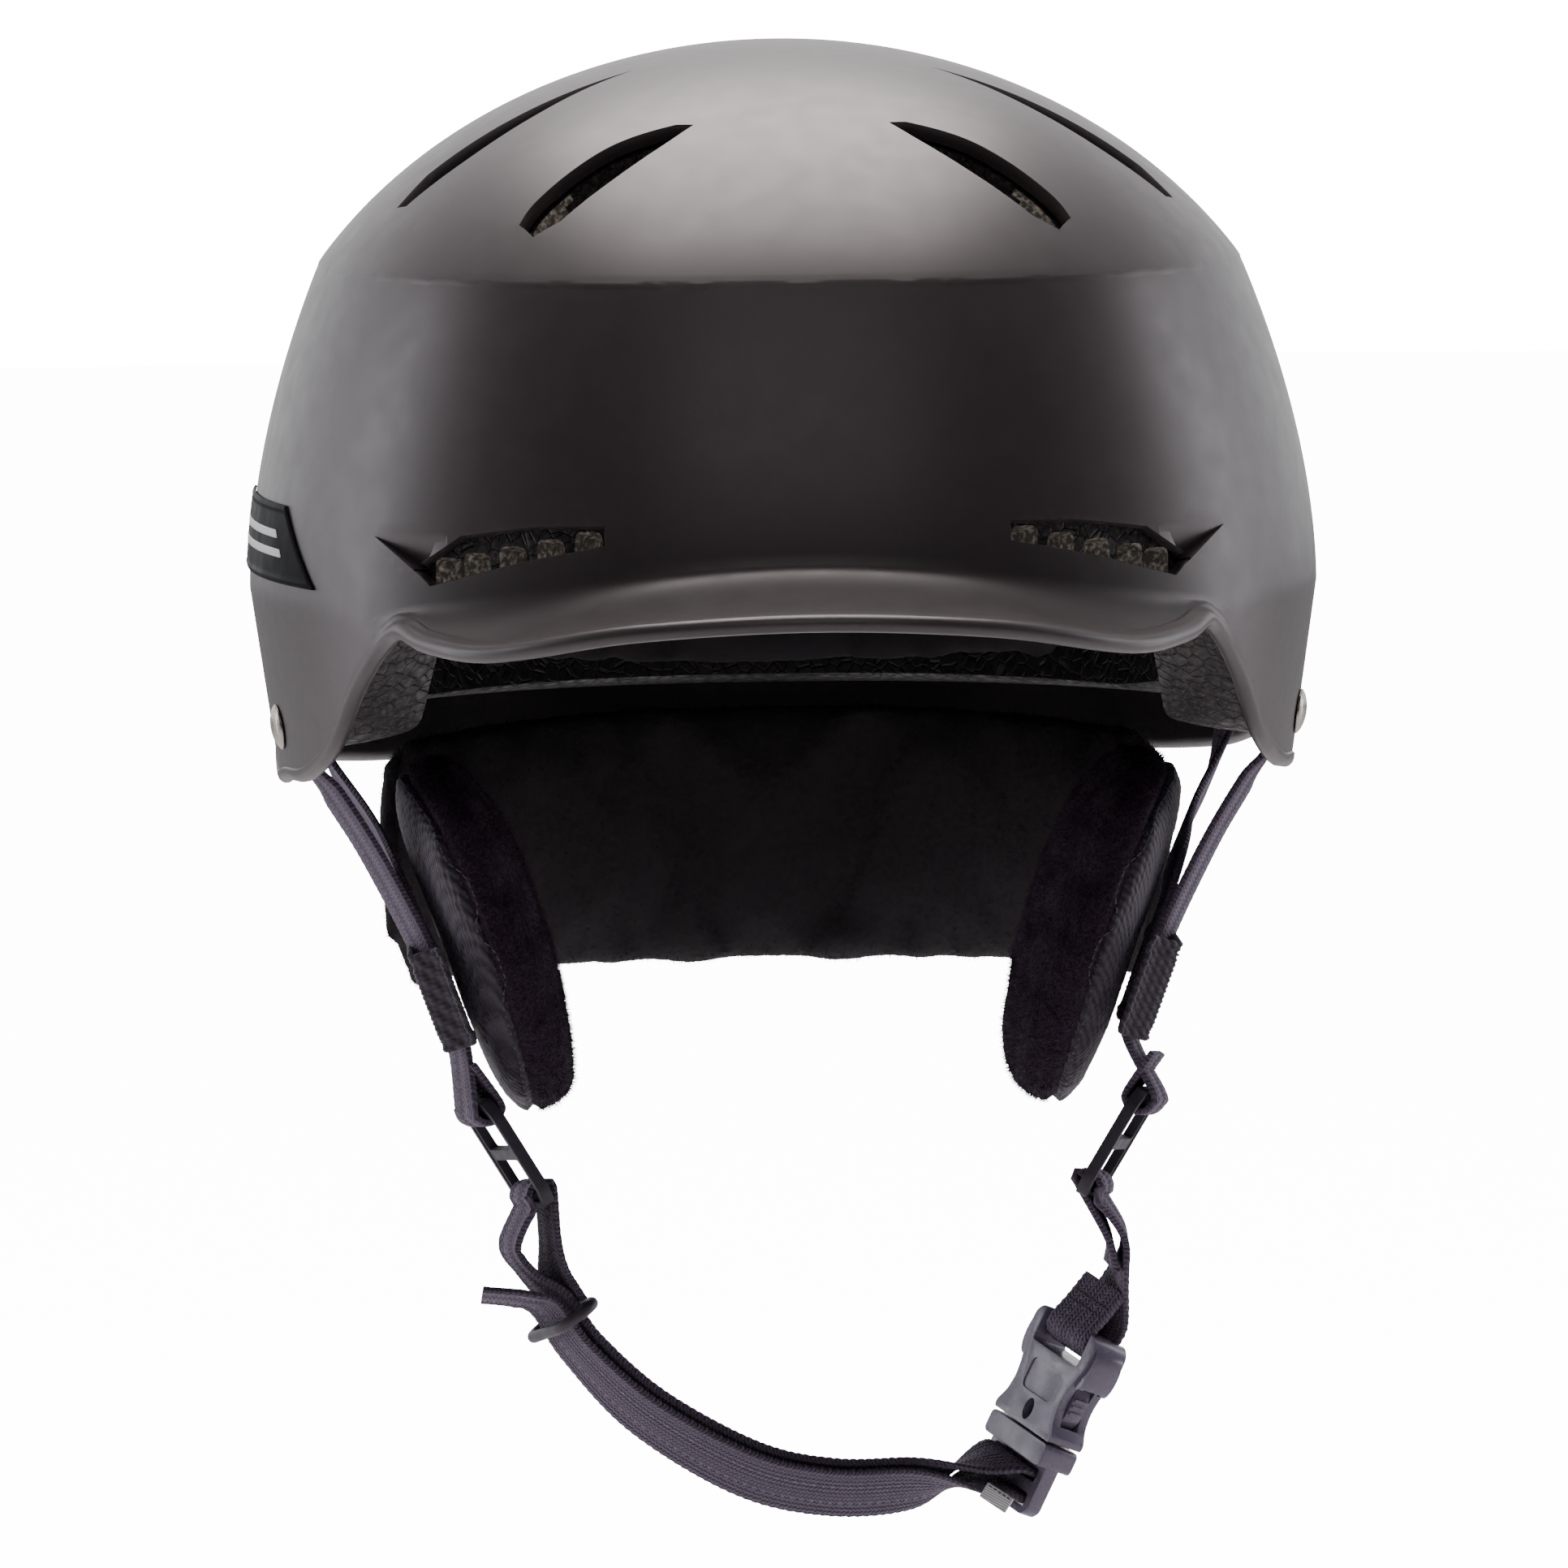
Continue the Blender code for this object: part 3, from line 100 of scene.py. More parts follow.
class Finish:
    """A material's node tree with short calls to add nodes."""

    def __init__(self, name, colour, roughness, metallic=0.0):
        self.material = bpy.data.materials.new(name)
        self.material.use_nodes = True
        self.tree = self.material.node_tree
        self.shader = self.tree.nodes["Principled BSDF"]
        self.shader.inputs["Base Color"].default_value = (*colour, 1.0)
        self.shader.inputs["Roughness"].default_value = roughness
        self.shader.inputs["Metallic"].default_value = metallic
        self.colour = colour
        self.roughness = roughness

    def add(self, kind, output=0, settings=None, **inputs):
        """Add a node and return one of its outputs; inputs are numbers, tuples or other outputs."""
        made = self.tree.nodes.new("ShaderNode" + kind)
        for key, value in (settings or {}).items():
            setattr(made, key, value)
        for key, value in inputs.items():
            found = made.inputs[int(key[1:])] if key[1:].isdigit() else made.inputs[key.replace("_", " ")]
            self.feed(found, value)
        return made.outputs[output]

    def feed(self, found, value):
        """Link an output to an input, or set the input's value."""
        if isinstance(value, bpy.types.NodeSocket):
            self.tree.links.new(value, found)
        else:
            found.default_value = value

    def put(self, key, value):
        """Set an input of the shader."""
        self.feed(self.shader.inputs[key], value)

    def math(self, operation, first, second=0.0):
        """One arithmetic step."""
        return self.add("Math", settings={"operation": operation}, i0=first, i1=second)

    def place(self):
        """Coordinates in the object's own metres."""
        return self.add("TexCoord", output=3)

    def noise(self, scale, detail=4.0, vector=None):
        """Noise value at features of about 1/scale metres."""
        return self.add("TexNoise", Vector=vector or self.place(), Scale=scale, Detail=detail)

    def ramp(self, value, low, high, start=0.0, end=1.0):
        """Map a value's stretch from low to high onto start to end."""
        return self.add("MapRange", i0=value, i1=low, i2=high, i3=start, i4=end)

    def tint(self, share, dark, light):
        """Colour between dark and light."""
        return self.add("Mix", output=2, settings={"data_type": "RGBA"},
                        i0=share, i6=(*dark, 1), i7=(*light, 1))

    def bump(self, *layers):
        """Stack bumps given as (height output, strength, distance in metres)."""
        normal = None
        for height, strength, distance in layers:
            inputs = {"Height": height, "Strength": strength, "Distance": distance}
            if normal is not None:
                inputs["Normal"] = normal
            normal = self.add("Bump", **inputs)
        self.put("Normal", normal)


def scaled(colour, share):
    """Colour made lighter or darker."""
    return tuple(min(1.0, channel * share) for channel in colour)


def shell_finish():
    """Satin paint with a fine spray texture, slightly worn along edges."""
    f = Finish("shell_satin", (0.046, 0.038, 0.041), 0.40)
    wide = f.noise(14, 3)
    fine = f.noise(2600, 2)
    wear = f.ramp(f.add("NewGeometry", output=7), 0.535, 0.60)
    body = f.tint(wide, scaled(f.colour, 0.93), scaled(f.colour, 1.07))
    worn = f.add("Mix", output=2, settings={"data_type": "RGBA"}, i0=f.math("MULTIPLY", wear, 0.35), i6=body,
                 i7=(0.13, 0.12, 0.12, 1))
    f.put("Base Color", worn)
    f.put("Roughness", f.ramp(f.noise(160, 4), 0.3, 0.7, 0.37, 0.43))
    f.put("Specular IOR Level", 0.62)
    f.put("Specular Tint", (1.0, 0.945, 0.955, 1))
    f.bump((fine, 0.10, 0.00006), (f.noise(700, 3), 0.05, 0.0001))
    return f.material


def foam_finish(name, colour, speck, painted_glow=0.0):
    """Moulded bead foam: cells pressed flat, with lighter specks; the emission strength paints light onto
    foam that lies in shade.
    """
    f = Finish(name, colour, 0.55)
    cells = f.add("TexVoronoi", Vector=f.place(), Scale=360.0)
    borders = f.add("TexVoronoi", settings={"feature": "DISTANCE_TO_EDGE"}, Vector=f.place(), Scale=360.0)
    specks = f.ramp(f.noise(900, 5), 0.46, 0.74)
    mottle = f.tint(specks, scaled(f.colour, 0.8), speck)
    f.put("Base Color", mottle)
    f.put("Emission Color", mottle)
    f.put("Emission Strength", painted_glow)
    f.put("Roughness", f.ramp(cells, 0.0, 0.9, 0.35, 0.75))
    f.bump((f.ramp(borders, 0.0, 0.09), 0.8, 0.0006), (f.noise(1500, 3), 0.4, 0.0003))
    return f.material


def fleece_finish():
    """Brushed fleece: near black, with a soft sheen and a short pile."""
    f = Finish("fleece", (0.0260, 0.0145, 0.0265), 1.0)
    pile = f.noise(1700, 6)
    f.put("Base Color", f.tint(f.ramp(pile, 0.3, 0.75), scaled(f.colour, 0.5), scaled(f.colour, 2.0)))
    f.put("Sheen Weight", 0.16)
    f.put("Sheen Roughness", 0.45)
    f.put("Sheen Tint", (0.55, 0.48, 0.62, 1))
    f.put("Specular IOR Level", 0.15)
    f.bump((pile, 0.9, 0.0007), (f.noise(420, 4), 0.6, 0.0010))
    return f.material


def knit_finish():
    """Fine knit cover: diagonal ribs with a satin thread."""
    f = Finish("flap_knit", (0.026, 0.019, 0.030), 0.60)
    place = f.place()
    ribs = f.add("TexWave", output=1, settings={"bands_direction": "DIAGONAL"}, Vector=place, Scale=260.0,
                 Distortion=1.2, Detail=2.0)
    cross = f.add("TexWave", output=1, settings={"bands_direction": "Y"},
                  Vector=place, Scale=330.0, Distortion=0.8)
    f.put("Base Color", f.tint(ribs, scaled(f.colour, 0.6), scaled(f.colour, 1.9)))
    f.put("Sheen Weight", 0.25)
    f.put("Sheen Tint", (0.6, 0.55, 0.68, 1))
    f.put("Specular IOR Level", 0.35)
    f.bump((ribs, 0.5, 0.0003), (cross, 0.35, 0.0003), (f.noise(900, 4), 0.3, 0.0003))
    return f.material


def webbing_finish():
    """Woven webbing; its UV map holds millimetres across and along the strap."""
    f = Finish("webbing", (0.102, 0.077, 0.119), 0.68)
    split = f.tree.nodes.new("ShaderNodeSeparateXYZ")
    f.tree.links.new(f.add("UVMap", settings={"uv_map": "weave"}), split.inputs[0])
    across, along = split.outputs[0], split.outputs[1]
    rib = f.math("SINE", f.math("MULTIPLY", across, 2 * math.pi / 1.25))
    slant = f.math("ADD", along, f.math("MULTIPLY", f.math("ABSOLUTE", f.math("SUBTRACT", f.math(
        "FRACT", f.math("DIVIDE", across, 2.5)), 0.5)), 1.8))
    pick = f.math("SINE", f.math("MULTIPLY", slant, 2 * math.pi / 0.85))
    weave = f.math("ADD", f.math("MULTIPLY", rib, 0.5), f.math("MULTIPLY", pick, 0.5))
    column = f.math("ABSOLUTE", f.math("SUBTRACT", f.math("ABSOLUTE", across), 2.7))
    beat = f.math("FRACT", f.math("DIVIDE", along, 1.9))
    dots = f.math("MULTIPLY", f.math("LESS_THAN", column, 0.38), f.math("LESS_THAN", beat, 0.42))
    threads = f.tint(f.ramp(weave, -0.9, 0.9), scaled(f.colour, 0.55), scaled(f.colour, 1.6))
    f.put("Base Color", f.add("Mix", output=2, settings={"data_type": "RGBA"},
                              i0=f.math("MULTIPLY", dots, 0.55), i6=threads, i7=(0.24, 0.20, 0.28, 1)))
    f.put("Sheen Weight", 0.25)
    f.put("Sheen Tint", (0.62, 0.56, 0.7, 1))
    f.put("Specular IOR Level", 0.3)
    f.bump((weave, 0.8, 0.0003), (f.noise(1800, 3), 0.35, 0.0002))
    return f.material


def plastic_finish(name, colour, roughness, grain=1200):
    """Moulded plastic or rubber with a fine grain and slight handling marks."""
    f = Finish(name, colour, roughness)
    marks = f.noise(90, 6)
    f.put("Base Color", f.tint(marks, scaled(colour, 0.85), scaled(colour, 1.2)))
    f.put("Roughness", f.ramp(f.noise(240, 5), 0.3, 0.7, roughness - 0.06, roughness + 0.08))
    f.bump((f.noise(grain, 3), 0.18, 0.00012), (marks, 0.04, 0.0004))
    return f.material


def metal_finish(name, colour, roughness):
    """Turned metal with fine rings of wear."""
    f = Finish(name, colour, roughness, 1.0)
    scratch = f.noise(1400, 5)
    f.put("Base Color", f.tint(f.noise(300, 4), scaled(colour, 0.75), scaled(colour, 1.15)))
    f.put("Roughness", f.ramp(scratch, 0.3, 0.7, roughness - 0.08, roughness + 0.12))
    f.bump((scratch, 0.12, 0.00008))
    return f.material


def badge_finish():
    """Gloss black plate with faint moulding flow."""
    f = Finish("badge_gloss", (0.004, 0.004, 0.006), 0.42)
    f.put("Roughness", f.ramp(f.noise(120, 5), 0.3, 0.7, 0.36, 0.48))
    f.put("Specular IOR Level", 0.02)
    f.bump((f.noise(60, 2), 0.03, 0.0004))
    return f.material


def thread_finish(name, colour):
    """Sewing thread with a twist."""
    f = Finish(name, colour, 0.6)
    twist = f.add("TexWave", output=1, settings={"bands_direction": "DIAGONAL"},
                  Vector=f.place(), Scale=900.0)
    f.put("Base Color", f.tint(twist, scaled(colour, 0.6), scaled(colour, 1.4)))
    f.put("Sheen Weight", 0.3)
    f.bump((twist, 0.4, 0.0001))
    return f.material


SHELL = shell_finish()
FOAM = foam_finish("liner_foam", (0.024, 0.021, 0.022), (0.085, 0.074, 0.072))
# Lighter copy of the foam with a faint glow, for the walls of the brow windows: painted light that makes them
# look lit.
FOAM_PAINTED_LIT = foam_finish("foam_channel_painted_light", (0.12, 0.105, 0.092), (0.58, 0.51, 0.44), 0.16)
# Near-black copy of the foam for the liner's rear half: painted shade for the dark helmet interior.
FOAM_PAINTED_SHADE = foam_finish("foam_rear_painted_shade", (0.006, 0.005, 0.006), (0.012, 0.010, 0.011))
FLEECE = fleece_finish()
KNIT = knit_finish()
WEBBING = webbing_finish()
DIVIDER = plastic_finish("divider_plastic", (0.030, 0.025, 0.038), 0.62)
BUCKLE = plastic_finish("buckle_plastic", (0.150, 0.128, 0.186), 0.26)
KEEPER = plastic_finish("keeper_rubber", (0.050, 0.040, 0.058), 0.5)
REEL = plastic_finish("reel_plastic", (0.022, 0.021, 0.023), 0.42, 900)
KNOB = plastic_finish("knob_rubber", (0.017, 0.016, 0.018), 0.62, 1600)
HOLDER = plastic_finish("holder_rubber", (0.014, 0.013, 0.014), 0.6, 1500)
BADGE = badge_finish()
MARK = plastic_finish("badge_marks", (0.62, 0.61, 0.60), 0.35)
LABEL = thread_finish("label_weave", (0.80, 0.78, 0.84))
RIVET = metal_finish("rivet_metal", (0.42, 0.39, 0.35), 0.30)
WASHER = metal_finish("washer_steel", (0.45, 0.45, 0.45), 0.38)
THREAD = thread_finish("thread", (0.05, 0.042, 0.056))
CORD = thread_finish("lace_cord", (0.028, 0.025, 0.030))


# ---------------------------------------------------------------- helmet surface

def smooth_step(value):
    """Blend from 0 to 1 that starts and ends level."""
    value = min(max(value, 0.0), 1.0)
    return value * value * (3 - 2 * value)


def through_keys(keys, angle, column):
    """Smooth curve through keys of (angle, value, value...), read at an angle in degrees."""
    for low in range(len(keys) - 1):
        if angle <= keys[low + 1][0]:
            break
    span = keys[low + 1][0] - keys[low][0]
    share = (angle - keys[low][0]) / span
    slopes = []
    for index in (low, low + 1):
        before, after = max(index - 1, 0), min(index + 1, len(keys) - 1)
        level = index in (0, len(keys) - 1)
        rise = keys[after][column] - keys[before][column]
        slopes.append(0.0 if level else rise / (keys[after][0] - keys[before][0]))
    a, b = keys[low][column], keys[low + 1][column]
    square, cube = share ** 2, share ** 3
    return ((2 * cube - 3 * square + 1) * a + (cube - 2 * square + share) * span * slopes[0]
            + (3 * square - 2 * cube) * b + (cube - square) * span * slopes[1])


def plan_radius(angle):
    """Radius of the helmet in plan at an angle from the front, at the belt line."""
    depth = FRONT_DEPTH if math.cos(angle) > 0 else BACK_DEPTH
    across = abs(math.sin(angle) / HALF_WIDTH) ** SQUARENESS
    along = abs(math.cos(angle) / depth) ** SQUARENESS
    return (across + along) ** (-1 / SQUARENESS)


def wall_share(z):
    """Radius at a height as a share of the plan radius: 1 at the belt line."""
    if z > BELT_Z:
        rise = (z - BELT_Z) / (CREASE_Z - BELT_Z)
        return 1 - (1 - CREASE_SHARE) * rise ** WALL_BULGE
    return 1 - LOWER_TAPER * (BELT_Z - z) / BELT_Z


def dome_point(angle, share):
    """Point on the dome; share runs from 0 at the crown to 1 at the crease."""
    radius = plan_radius(angle) * CREASE_SHARE * share
    z = DOME_BASE_Z + (CROWN_Z - DOME_BASE_Z) * math.sqrt(1 - (DOME_CUT * share) ** 2)
    return Vector((radius * math.sin(angle), -radius * math.cos(angle), z))


def wall_point(angle, z, reach=0.0):
    """Point on the wall at a height, moved out by reach."""
    radius = plan_radius(angle) * wall_share(z) + reach
    return Vector((radius * math.sin(angle), -radius * math.cos(angle), z))


def helmet_point(angle, level):
    """Level 0 is the crown, 1 the crease, and below it the level is 1 mm of height per 0.01."""
    if level <= 1:
        return dome_point(angle, max(level, 0.0))
    return wall_point(angle, CREASE_Z - (level - 1) * 100)


def level_at(z):
    """Level of a height on the wall."""
    return 1 + (CREASE_Z - z) / 100


def helmet_normal(angle, level):
    """Outward direction of the plain helmet surface."""
    if level < 0.01:
        return Vector((0, 0, 1))
    step = 0.02
    around = helmet_point(angle + step, level) - helmet_point(angle - step, level)
    down = helmet_point(angle, level + step) - helmet_point(angle, max(level - step, 0.001))
    return down.cross(around).normalized()


def inset_point(angle, level, depth):
    """Point at a depth inside the outer surface."""
    return helmet_point(angle, level) - helmet_normal(angle, level) * depth


def surface_frame(angle, z):
    """Matrix on the outer wall: local X runs around, Y up the wall and Z outwards."""
    level = level_at(z)
    out = helmet_normal(angle, level)
    around = Vector((math.cos(angle), math.sin(angle), 0))
    around = (around - out * around.dot(out)).normalized()
    axes = Matrix((around, out.cross(around), out)).transposed().to_4x4()
    return Matrix.Translation(helmet_point(angle, level)) @ axes


def brim_root_z(angle):
    """Height where the brim starts to leave the wall; the belt line at the sides and back."""
    return BRIM_ROOT_Z - (BRIM_ROOT_Z - BELT_Z) * smooth_step(abs(math.degrees(angle)) / 60)


def shell_lower_point(angle, share):
    """Lower wall and brim, from the brim's root at share 0 to the edge at share 1."""
    degrees = abs(math.degrees(angle))
    reach = through_keys(SHELL_EDGE, degrees, 1)
    edge_z = through_keys(SHELL_EDGE, degrees, 2)
    root_z = brim_root_z(angle)
    share = min(max(share, 0.0), 1.0)
    fall = 0.7 * (1 - (1 - share) ** 2) + 0.3 * share
    return wall_point(angle, root_z + (edge_z - root_z) * fall, reach * share ** 1.6)


# ---------------------------------------------------------------- builders

def to_row(point):
    """Row frame position in metres of a point in millimetres."""
    return Vector((point[0], point[1], point[2] - DATUM_Z)) * MM


def link_object(name, mesh, material, body, replaced=(), smooth=35):
    """Object of a finished mesh in the row frame, riding on a body."""
    mesh.validate()
    if not mesh.materials:
        mesh.materials.append(material)
    mesh.shade_smooth()
    mesh.set_sharp_from_angle(angle=math.radians(smooth))
    obj = bpy.data.objects.new(name, mesh)
    bpy.context.scene.collection.objects.link(obj)
    if body:
        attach(obj, body)
    if replaced:
        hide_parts(*replaced)
    return obj


def mesh_of(name, points, faces):
    """Mesh from points in millimetres."""
    mesh = bpy.data.meshes.new(name)
    mesh.from_pydata([to_row(point) for point in points], [], faces)
    return mesh


def facing_out(mesh):
    """Turn all faces of closed bodies outwards."""
    bm = bmesh.new()
    bm.from_mesh(mesh)
    bm.normal_update()
    bmesh.ops.recalc_face_normals(bm, faces=bm.faces)
    bm.to_mesh(mesh)
    bm.free()
    return mesh


def merged(meshes):
    """One mesh holding several, which are removed."""
    bm = bmesh.new()
    for mesh in meshes:
        bm.from_mesh(mesh)
    made = meshes[0]
    bm.to_mesh(made)
    bm.free()
    for mesh in meshes[1:]:
        bpy.data.meshes.remove(mesh)
    return made


def surface_tree(mesh):
    """Search tree over the faces of a mesh."""
    corners = [tuple(face.vertices) for face in mesh.polygons]
    return BVHTree.FromPolygons([vert.co for vert in mesh.vertices], corners)


def applied(obj):
    """Apply an object's modifiers to its mesh."""
    evaluated = obj.evaluated_get(bpy.context.evaluated_depsgraph_get())
    mesh = bpy.data.meshes.new_from_object(evaluated)
    obj.modifiers.clear()
    obj.data = mesh
    return obj


def run_through(points, step, closed=False):
    """Evenly spaced smooth run through points."""
    values = [Vector(point) for point in points]
    count = len(values)
    fine = []
    for index in range(count if closed else count - 1):
        if closed:
            a, b, c, d = (values[(index + shift) % count] for shift in (-1, 0, 1, 2))
        else:
            a, b = values[max(index - 1, 0)], values[index]
            c, d = values[index + 1], values[min(index + 2, count - 1)]
        for part in range(12):
            t = part / 12
            fine.append(0.5 * (2 * b + (c - a) * t + (2 * a - 5 * b + 4 * c - d) * t ** 2
                               + (3 * b - a - 3 * c + d) * t ** 3))
    fine.append(values[0].copy() if closed else values[-1])
    lengths = [0.0]
    for first, second in zip(fine, fine[1:]):
        lengths.append(lengths[-1] + (second - first).length)
    steps = max(2, round(lengths[-1] / step))
    array = np.array(fine)
    marks = np.linspace(0, lengths[-1], steps + 1)
    columns = [np.interp(marks, lengths, array[:, axis]) for axis in range(array.shape[1])]
    run = [Vector(row) for row in np.stack(columns, 1)]
    return run[:-1] if closed else run


def rounded_path(points, radius, closed=True, steps=4):
    """Polyline with its corners rounded by arcs."""
    path = []
    count = len(points)
    for index, corner in enumerate(points):
        corner = Vector(corner)
        if not closed and index in (0, count - 1):
            path.append(corner)
            continue
        before, after = Vector(points[index - 1]), Vector(points[(index + 1) % count])
        back, ahead = before - corner, after - corner
        reach = min(radius, back.length * 0.45, ahead.length * 0.45)
        start, end = corner + back.normalized() * reach, corner + ahead.normalized() * reach
        for step in range(steps + 1):
            t = step / steps
            path.append(start * (1 - t) ** 2 + corner * 2 * t * (1 - t) + end * t ** 2)
    return path


def lathe(name, profile, matrix, material, body, replaced=(), soft=0.4, steps=72, ripple=None):
    """Turned piece about local Z from (radius, height) pairs; ripple(angle, radius, height) adds to radii."""
    closed = profile[0][0] > 0
    path = rounded_path(profile, soft, closed=closed)
    points, faces = [], []
    for corner in path:
        for step in range(steps):
            angle = 2 * math.pi * step / steps
            radius = corner.x + (ripple(angle, corner.x, corner.y) if ripple else 0)
            points.append(matrix @ Vector((radius * math.cos(angle), radius * math.sin(angle), corner.y)))
    rings = len(path)
    for ring in range(rings if closed else rings - 1):
        low, high = ring * steps, (ring + 1) % rings * steps
        for step in range(steps):
            after = (step + 1) % steps
            faces.append((low + step, low + after, high + after, high + step))
    mesh = mesh_of(name, points, faces)
    bm = bmesh.new()
    bm.from_mesh(mesh)
    bmesh.ops.remove_doubles(bm, verts=bm.verts, dist=0.000002)
    bm.to_mesh(mesh)
    bm.free()
    return link_object(name, facing_out(mesh), material, body, replaced)


def sweep(name, points, radius, closed=False, sides=12, ripple=None, squash=1.0, normal=None):
    """Round cord mesh along points; ripple(distance, turn) adds to the radius."""
    count = len(points)
    verts, faces = [], []
    side = Vector(normal) if normal else Vector((0.3, 0.2, 1.0))
    travelled = 0.0
    for index in range(count):
        if closed:
            tangent = points[(index + 1) % count] - points[index - 1]
        else:
            tangent = points[min(index + 1, count - 1)] - points[max(index - 1, 0)]
        tangent.normalize()
        side = (side - tangent * side.dot(tangent)).normalized()
        other = tangent.cross(side)
        if index:
            travelled += (points[index] - points[index - 1]).length
        taper = 1.0
        if not closed and index in (0, count - 1):
            taper = 0.55
        for step in range(sides):
            turn = 2 * math.pi * step / sides
            size = radius * taper + (ripple(travelled, turn) if ripple else 0)
            round_part = side * math.cos(turn) * size + other * math.sin(turn) * size * squash
            verts.append(points[index] + round_part)
    for index in range(count if closed else count - 1):
        low, high = index * sides, (index + 1) % count * sides
        for step in range(sides):
            after = (step + 1) % sides
            faces.append((low + step, low + after, high + after, high + step))
    if not closed:
        faces.append(tuple(range(sides)))
        faces.append(tuple(range((count - 1) * sides, count * sides)))
    return facing_out(mesh_of(name, verts, faces))


def stitch_row(name, spots, pitch, length, radius):
    """Row of thread stitches; spots are (point, outward direction) pairs along the seam."""
    run = run_through([tuple(point) + tuple(out) for point, out in spots], pitch)
    meshes = []
    for index in range(len(run) - 1):
        start, end = Vector(run[index][:3]), Vector(run[index + 1][:3])
        out = Vector(run[index][3:]).normalized()
        along = (end - start).normalized() * length / 2
        middle = (start + end) / 2
        path = [middle - along - out * radius, middle - along * 0.6 + out * radius * 0.5,
                middle + along * 0.6 + out * radius * 0.5, middle + along - out * radius]
        meshes.append(sweep(name, path, radius, sides=6, normal=out))
    return merged(meshes)


# ---------------------------------------------------------------- shell and foam

INNER_VENT = ((19.0, -66.0), (22.5, -64.8), (35.6, -67.0), (49.5, -74.5), (53.5, -78.8),
              (51.0, -83.8), (45.6, -83.6), (34.7, -77.9), (25.2, -71.5))
INNER_CORNERS = (0, 1, 4, 5, 6)
OUTER_VENT = ((29.5, -26.5), (40.0, -28.3), (51.0, -30.0), (71.0, -33.0), (77.0, -38.0),
              (75.2, -41.8), (62.8, -41.3), (50.4, -37.0), (39.0, -31.0))
OUTER_CORNERS = (0, 3, 4, 5)
# Brow vent seen from the front, with the scoop beside its outer end
SCOOP_TIP, SCOOP_TOP, SCOOP_DEEP = (82.5, 56.3), (65.9, 57.4), (74.4, 51.2)
SCOOP_LIP = (75.1, 50.4)
SCOOP_DEPTH = 3.4
BROW_VENT = ((38.6, 60.0), (52.0, 59.6), SCOOP_TOP, SCOOP_DEEP, SCOOP_LIP, (72.0, 47.4),
             (55.0, 52.6), (38.6, 56.2))
BROW_CORNERS = (0, 2, 3, 4, 5, 7)
BROW_WINDOWS = (43.0, 50.5, 58.0, 65.0, 70.6)
WINDOW_SIZE = (5.4, 7.0)
SHELL_SECTORS, FOAM_SECTORS = 288, 160
EDGE_BAND = 5.0
BEAD_WIDTH, BEAD_HEIGHT = 3.0, 0.5
CREASE_ROUNDING, CREASE_SOFTNESS = 0.06, 1.0


def smooth_outline(points, corners, step):
    """Closed outline, smooth between its corner points."""
    count = len(points)
    path = []
    for index, start in enumerate(corners):
        end = corners[(index + 1) % len(corners)]
        span = (end - start) % count
        stretch = [points[(start + shift) % count] for shift in range(span + 1)]
        path.extend(run_through([(x, y, 0) for x, y in stretch], step)[:-1])
    return [(point.x, point.y) for point in path]


def polar_from_plan(x, y):
    """Angle and row position of a dome point seen from above."""
    angle = math.atan2(x, -y)
    return angle, math.hypot(x, y) / (plan_radius(angle) * CREASE_SHARE)


def polar_from_front(x, z):
    """Angle and row position of a wall point seen from the front."""
    low, high = 0.0, math.pi / 2
    share = wall_share(z)
    for _ in range(40):
        middle = (low + high) / 2
        if plan_radius(middle) * share * math.sin(middle) < abs(x):
            low = middle
        else:
            high = middle
    return math.copysign(low, x), 1 + (CREASE_Z - z) / (CREASE_Z - brim_root_z(low))


def flat(polar):
    """Position in the flat chart: the row position is the distance from its middle."""
    angle, row = polar
    return Vector((row * math.sin(angle), -row * math.cos(angle)))


def chart_outlines(step, shrink=1.0):
    """Vent outlines of both sides in the chart."""
    loops = []
    for points, corners, convert in ((INNER_VENT, INNER_CORNERS, polar_from_plan),
                                     (OUTER_VENT, OUTER_CORNERS, polar_from_plan),
                                     (BROW_VENT, BROW_CORNERS, polar_from_front)):
        outline = smooth_outline(points, corners, step)
        middle = Vector(np.mean(outline, axis=0))
        for side, _ in SIDES:
            shifted = [middle + (Vector(point) - middle) * shrink for point in outline]
            loops.append([flat(convert(side * point.x, point.y)) for point in shifted])
    return loops


def inside(points, loop):
    """Which chart points lie inside a loop."""
    x, y = points[:, 0], points[:, 1]
    found = np.zeros(len(points), bool)
    for (ax, ay), (bx, by) in zip(loop, loop[1:] + loop[:1]):
        if ay != by:
            found ^= ((ay > y) != (by > y)) & (x < (bx - ax) * (y - ay) / (by - ay) + ax)
    return found


def distance_to(points, loop, closed=True):
    """Distance in the chart from points to a line."""
    best = np.full(len(points), 1e9)
    ends = loop[1:] + (loop[:1] if closed else [])
    for start, end in zip(loop, ends):
        start, end = np.array(start), np.array(end)
        along = end - start
        t = np.clip((points - start) @ along / max(along @ along, 1e-12), 0, 1)
        best = np.minimum(best, np.linalg.norm(points - start - t[:, None] * along, axis=1))
    return best


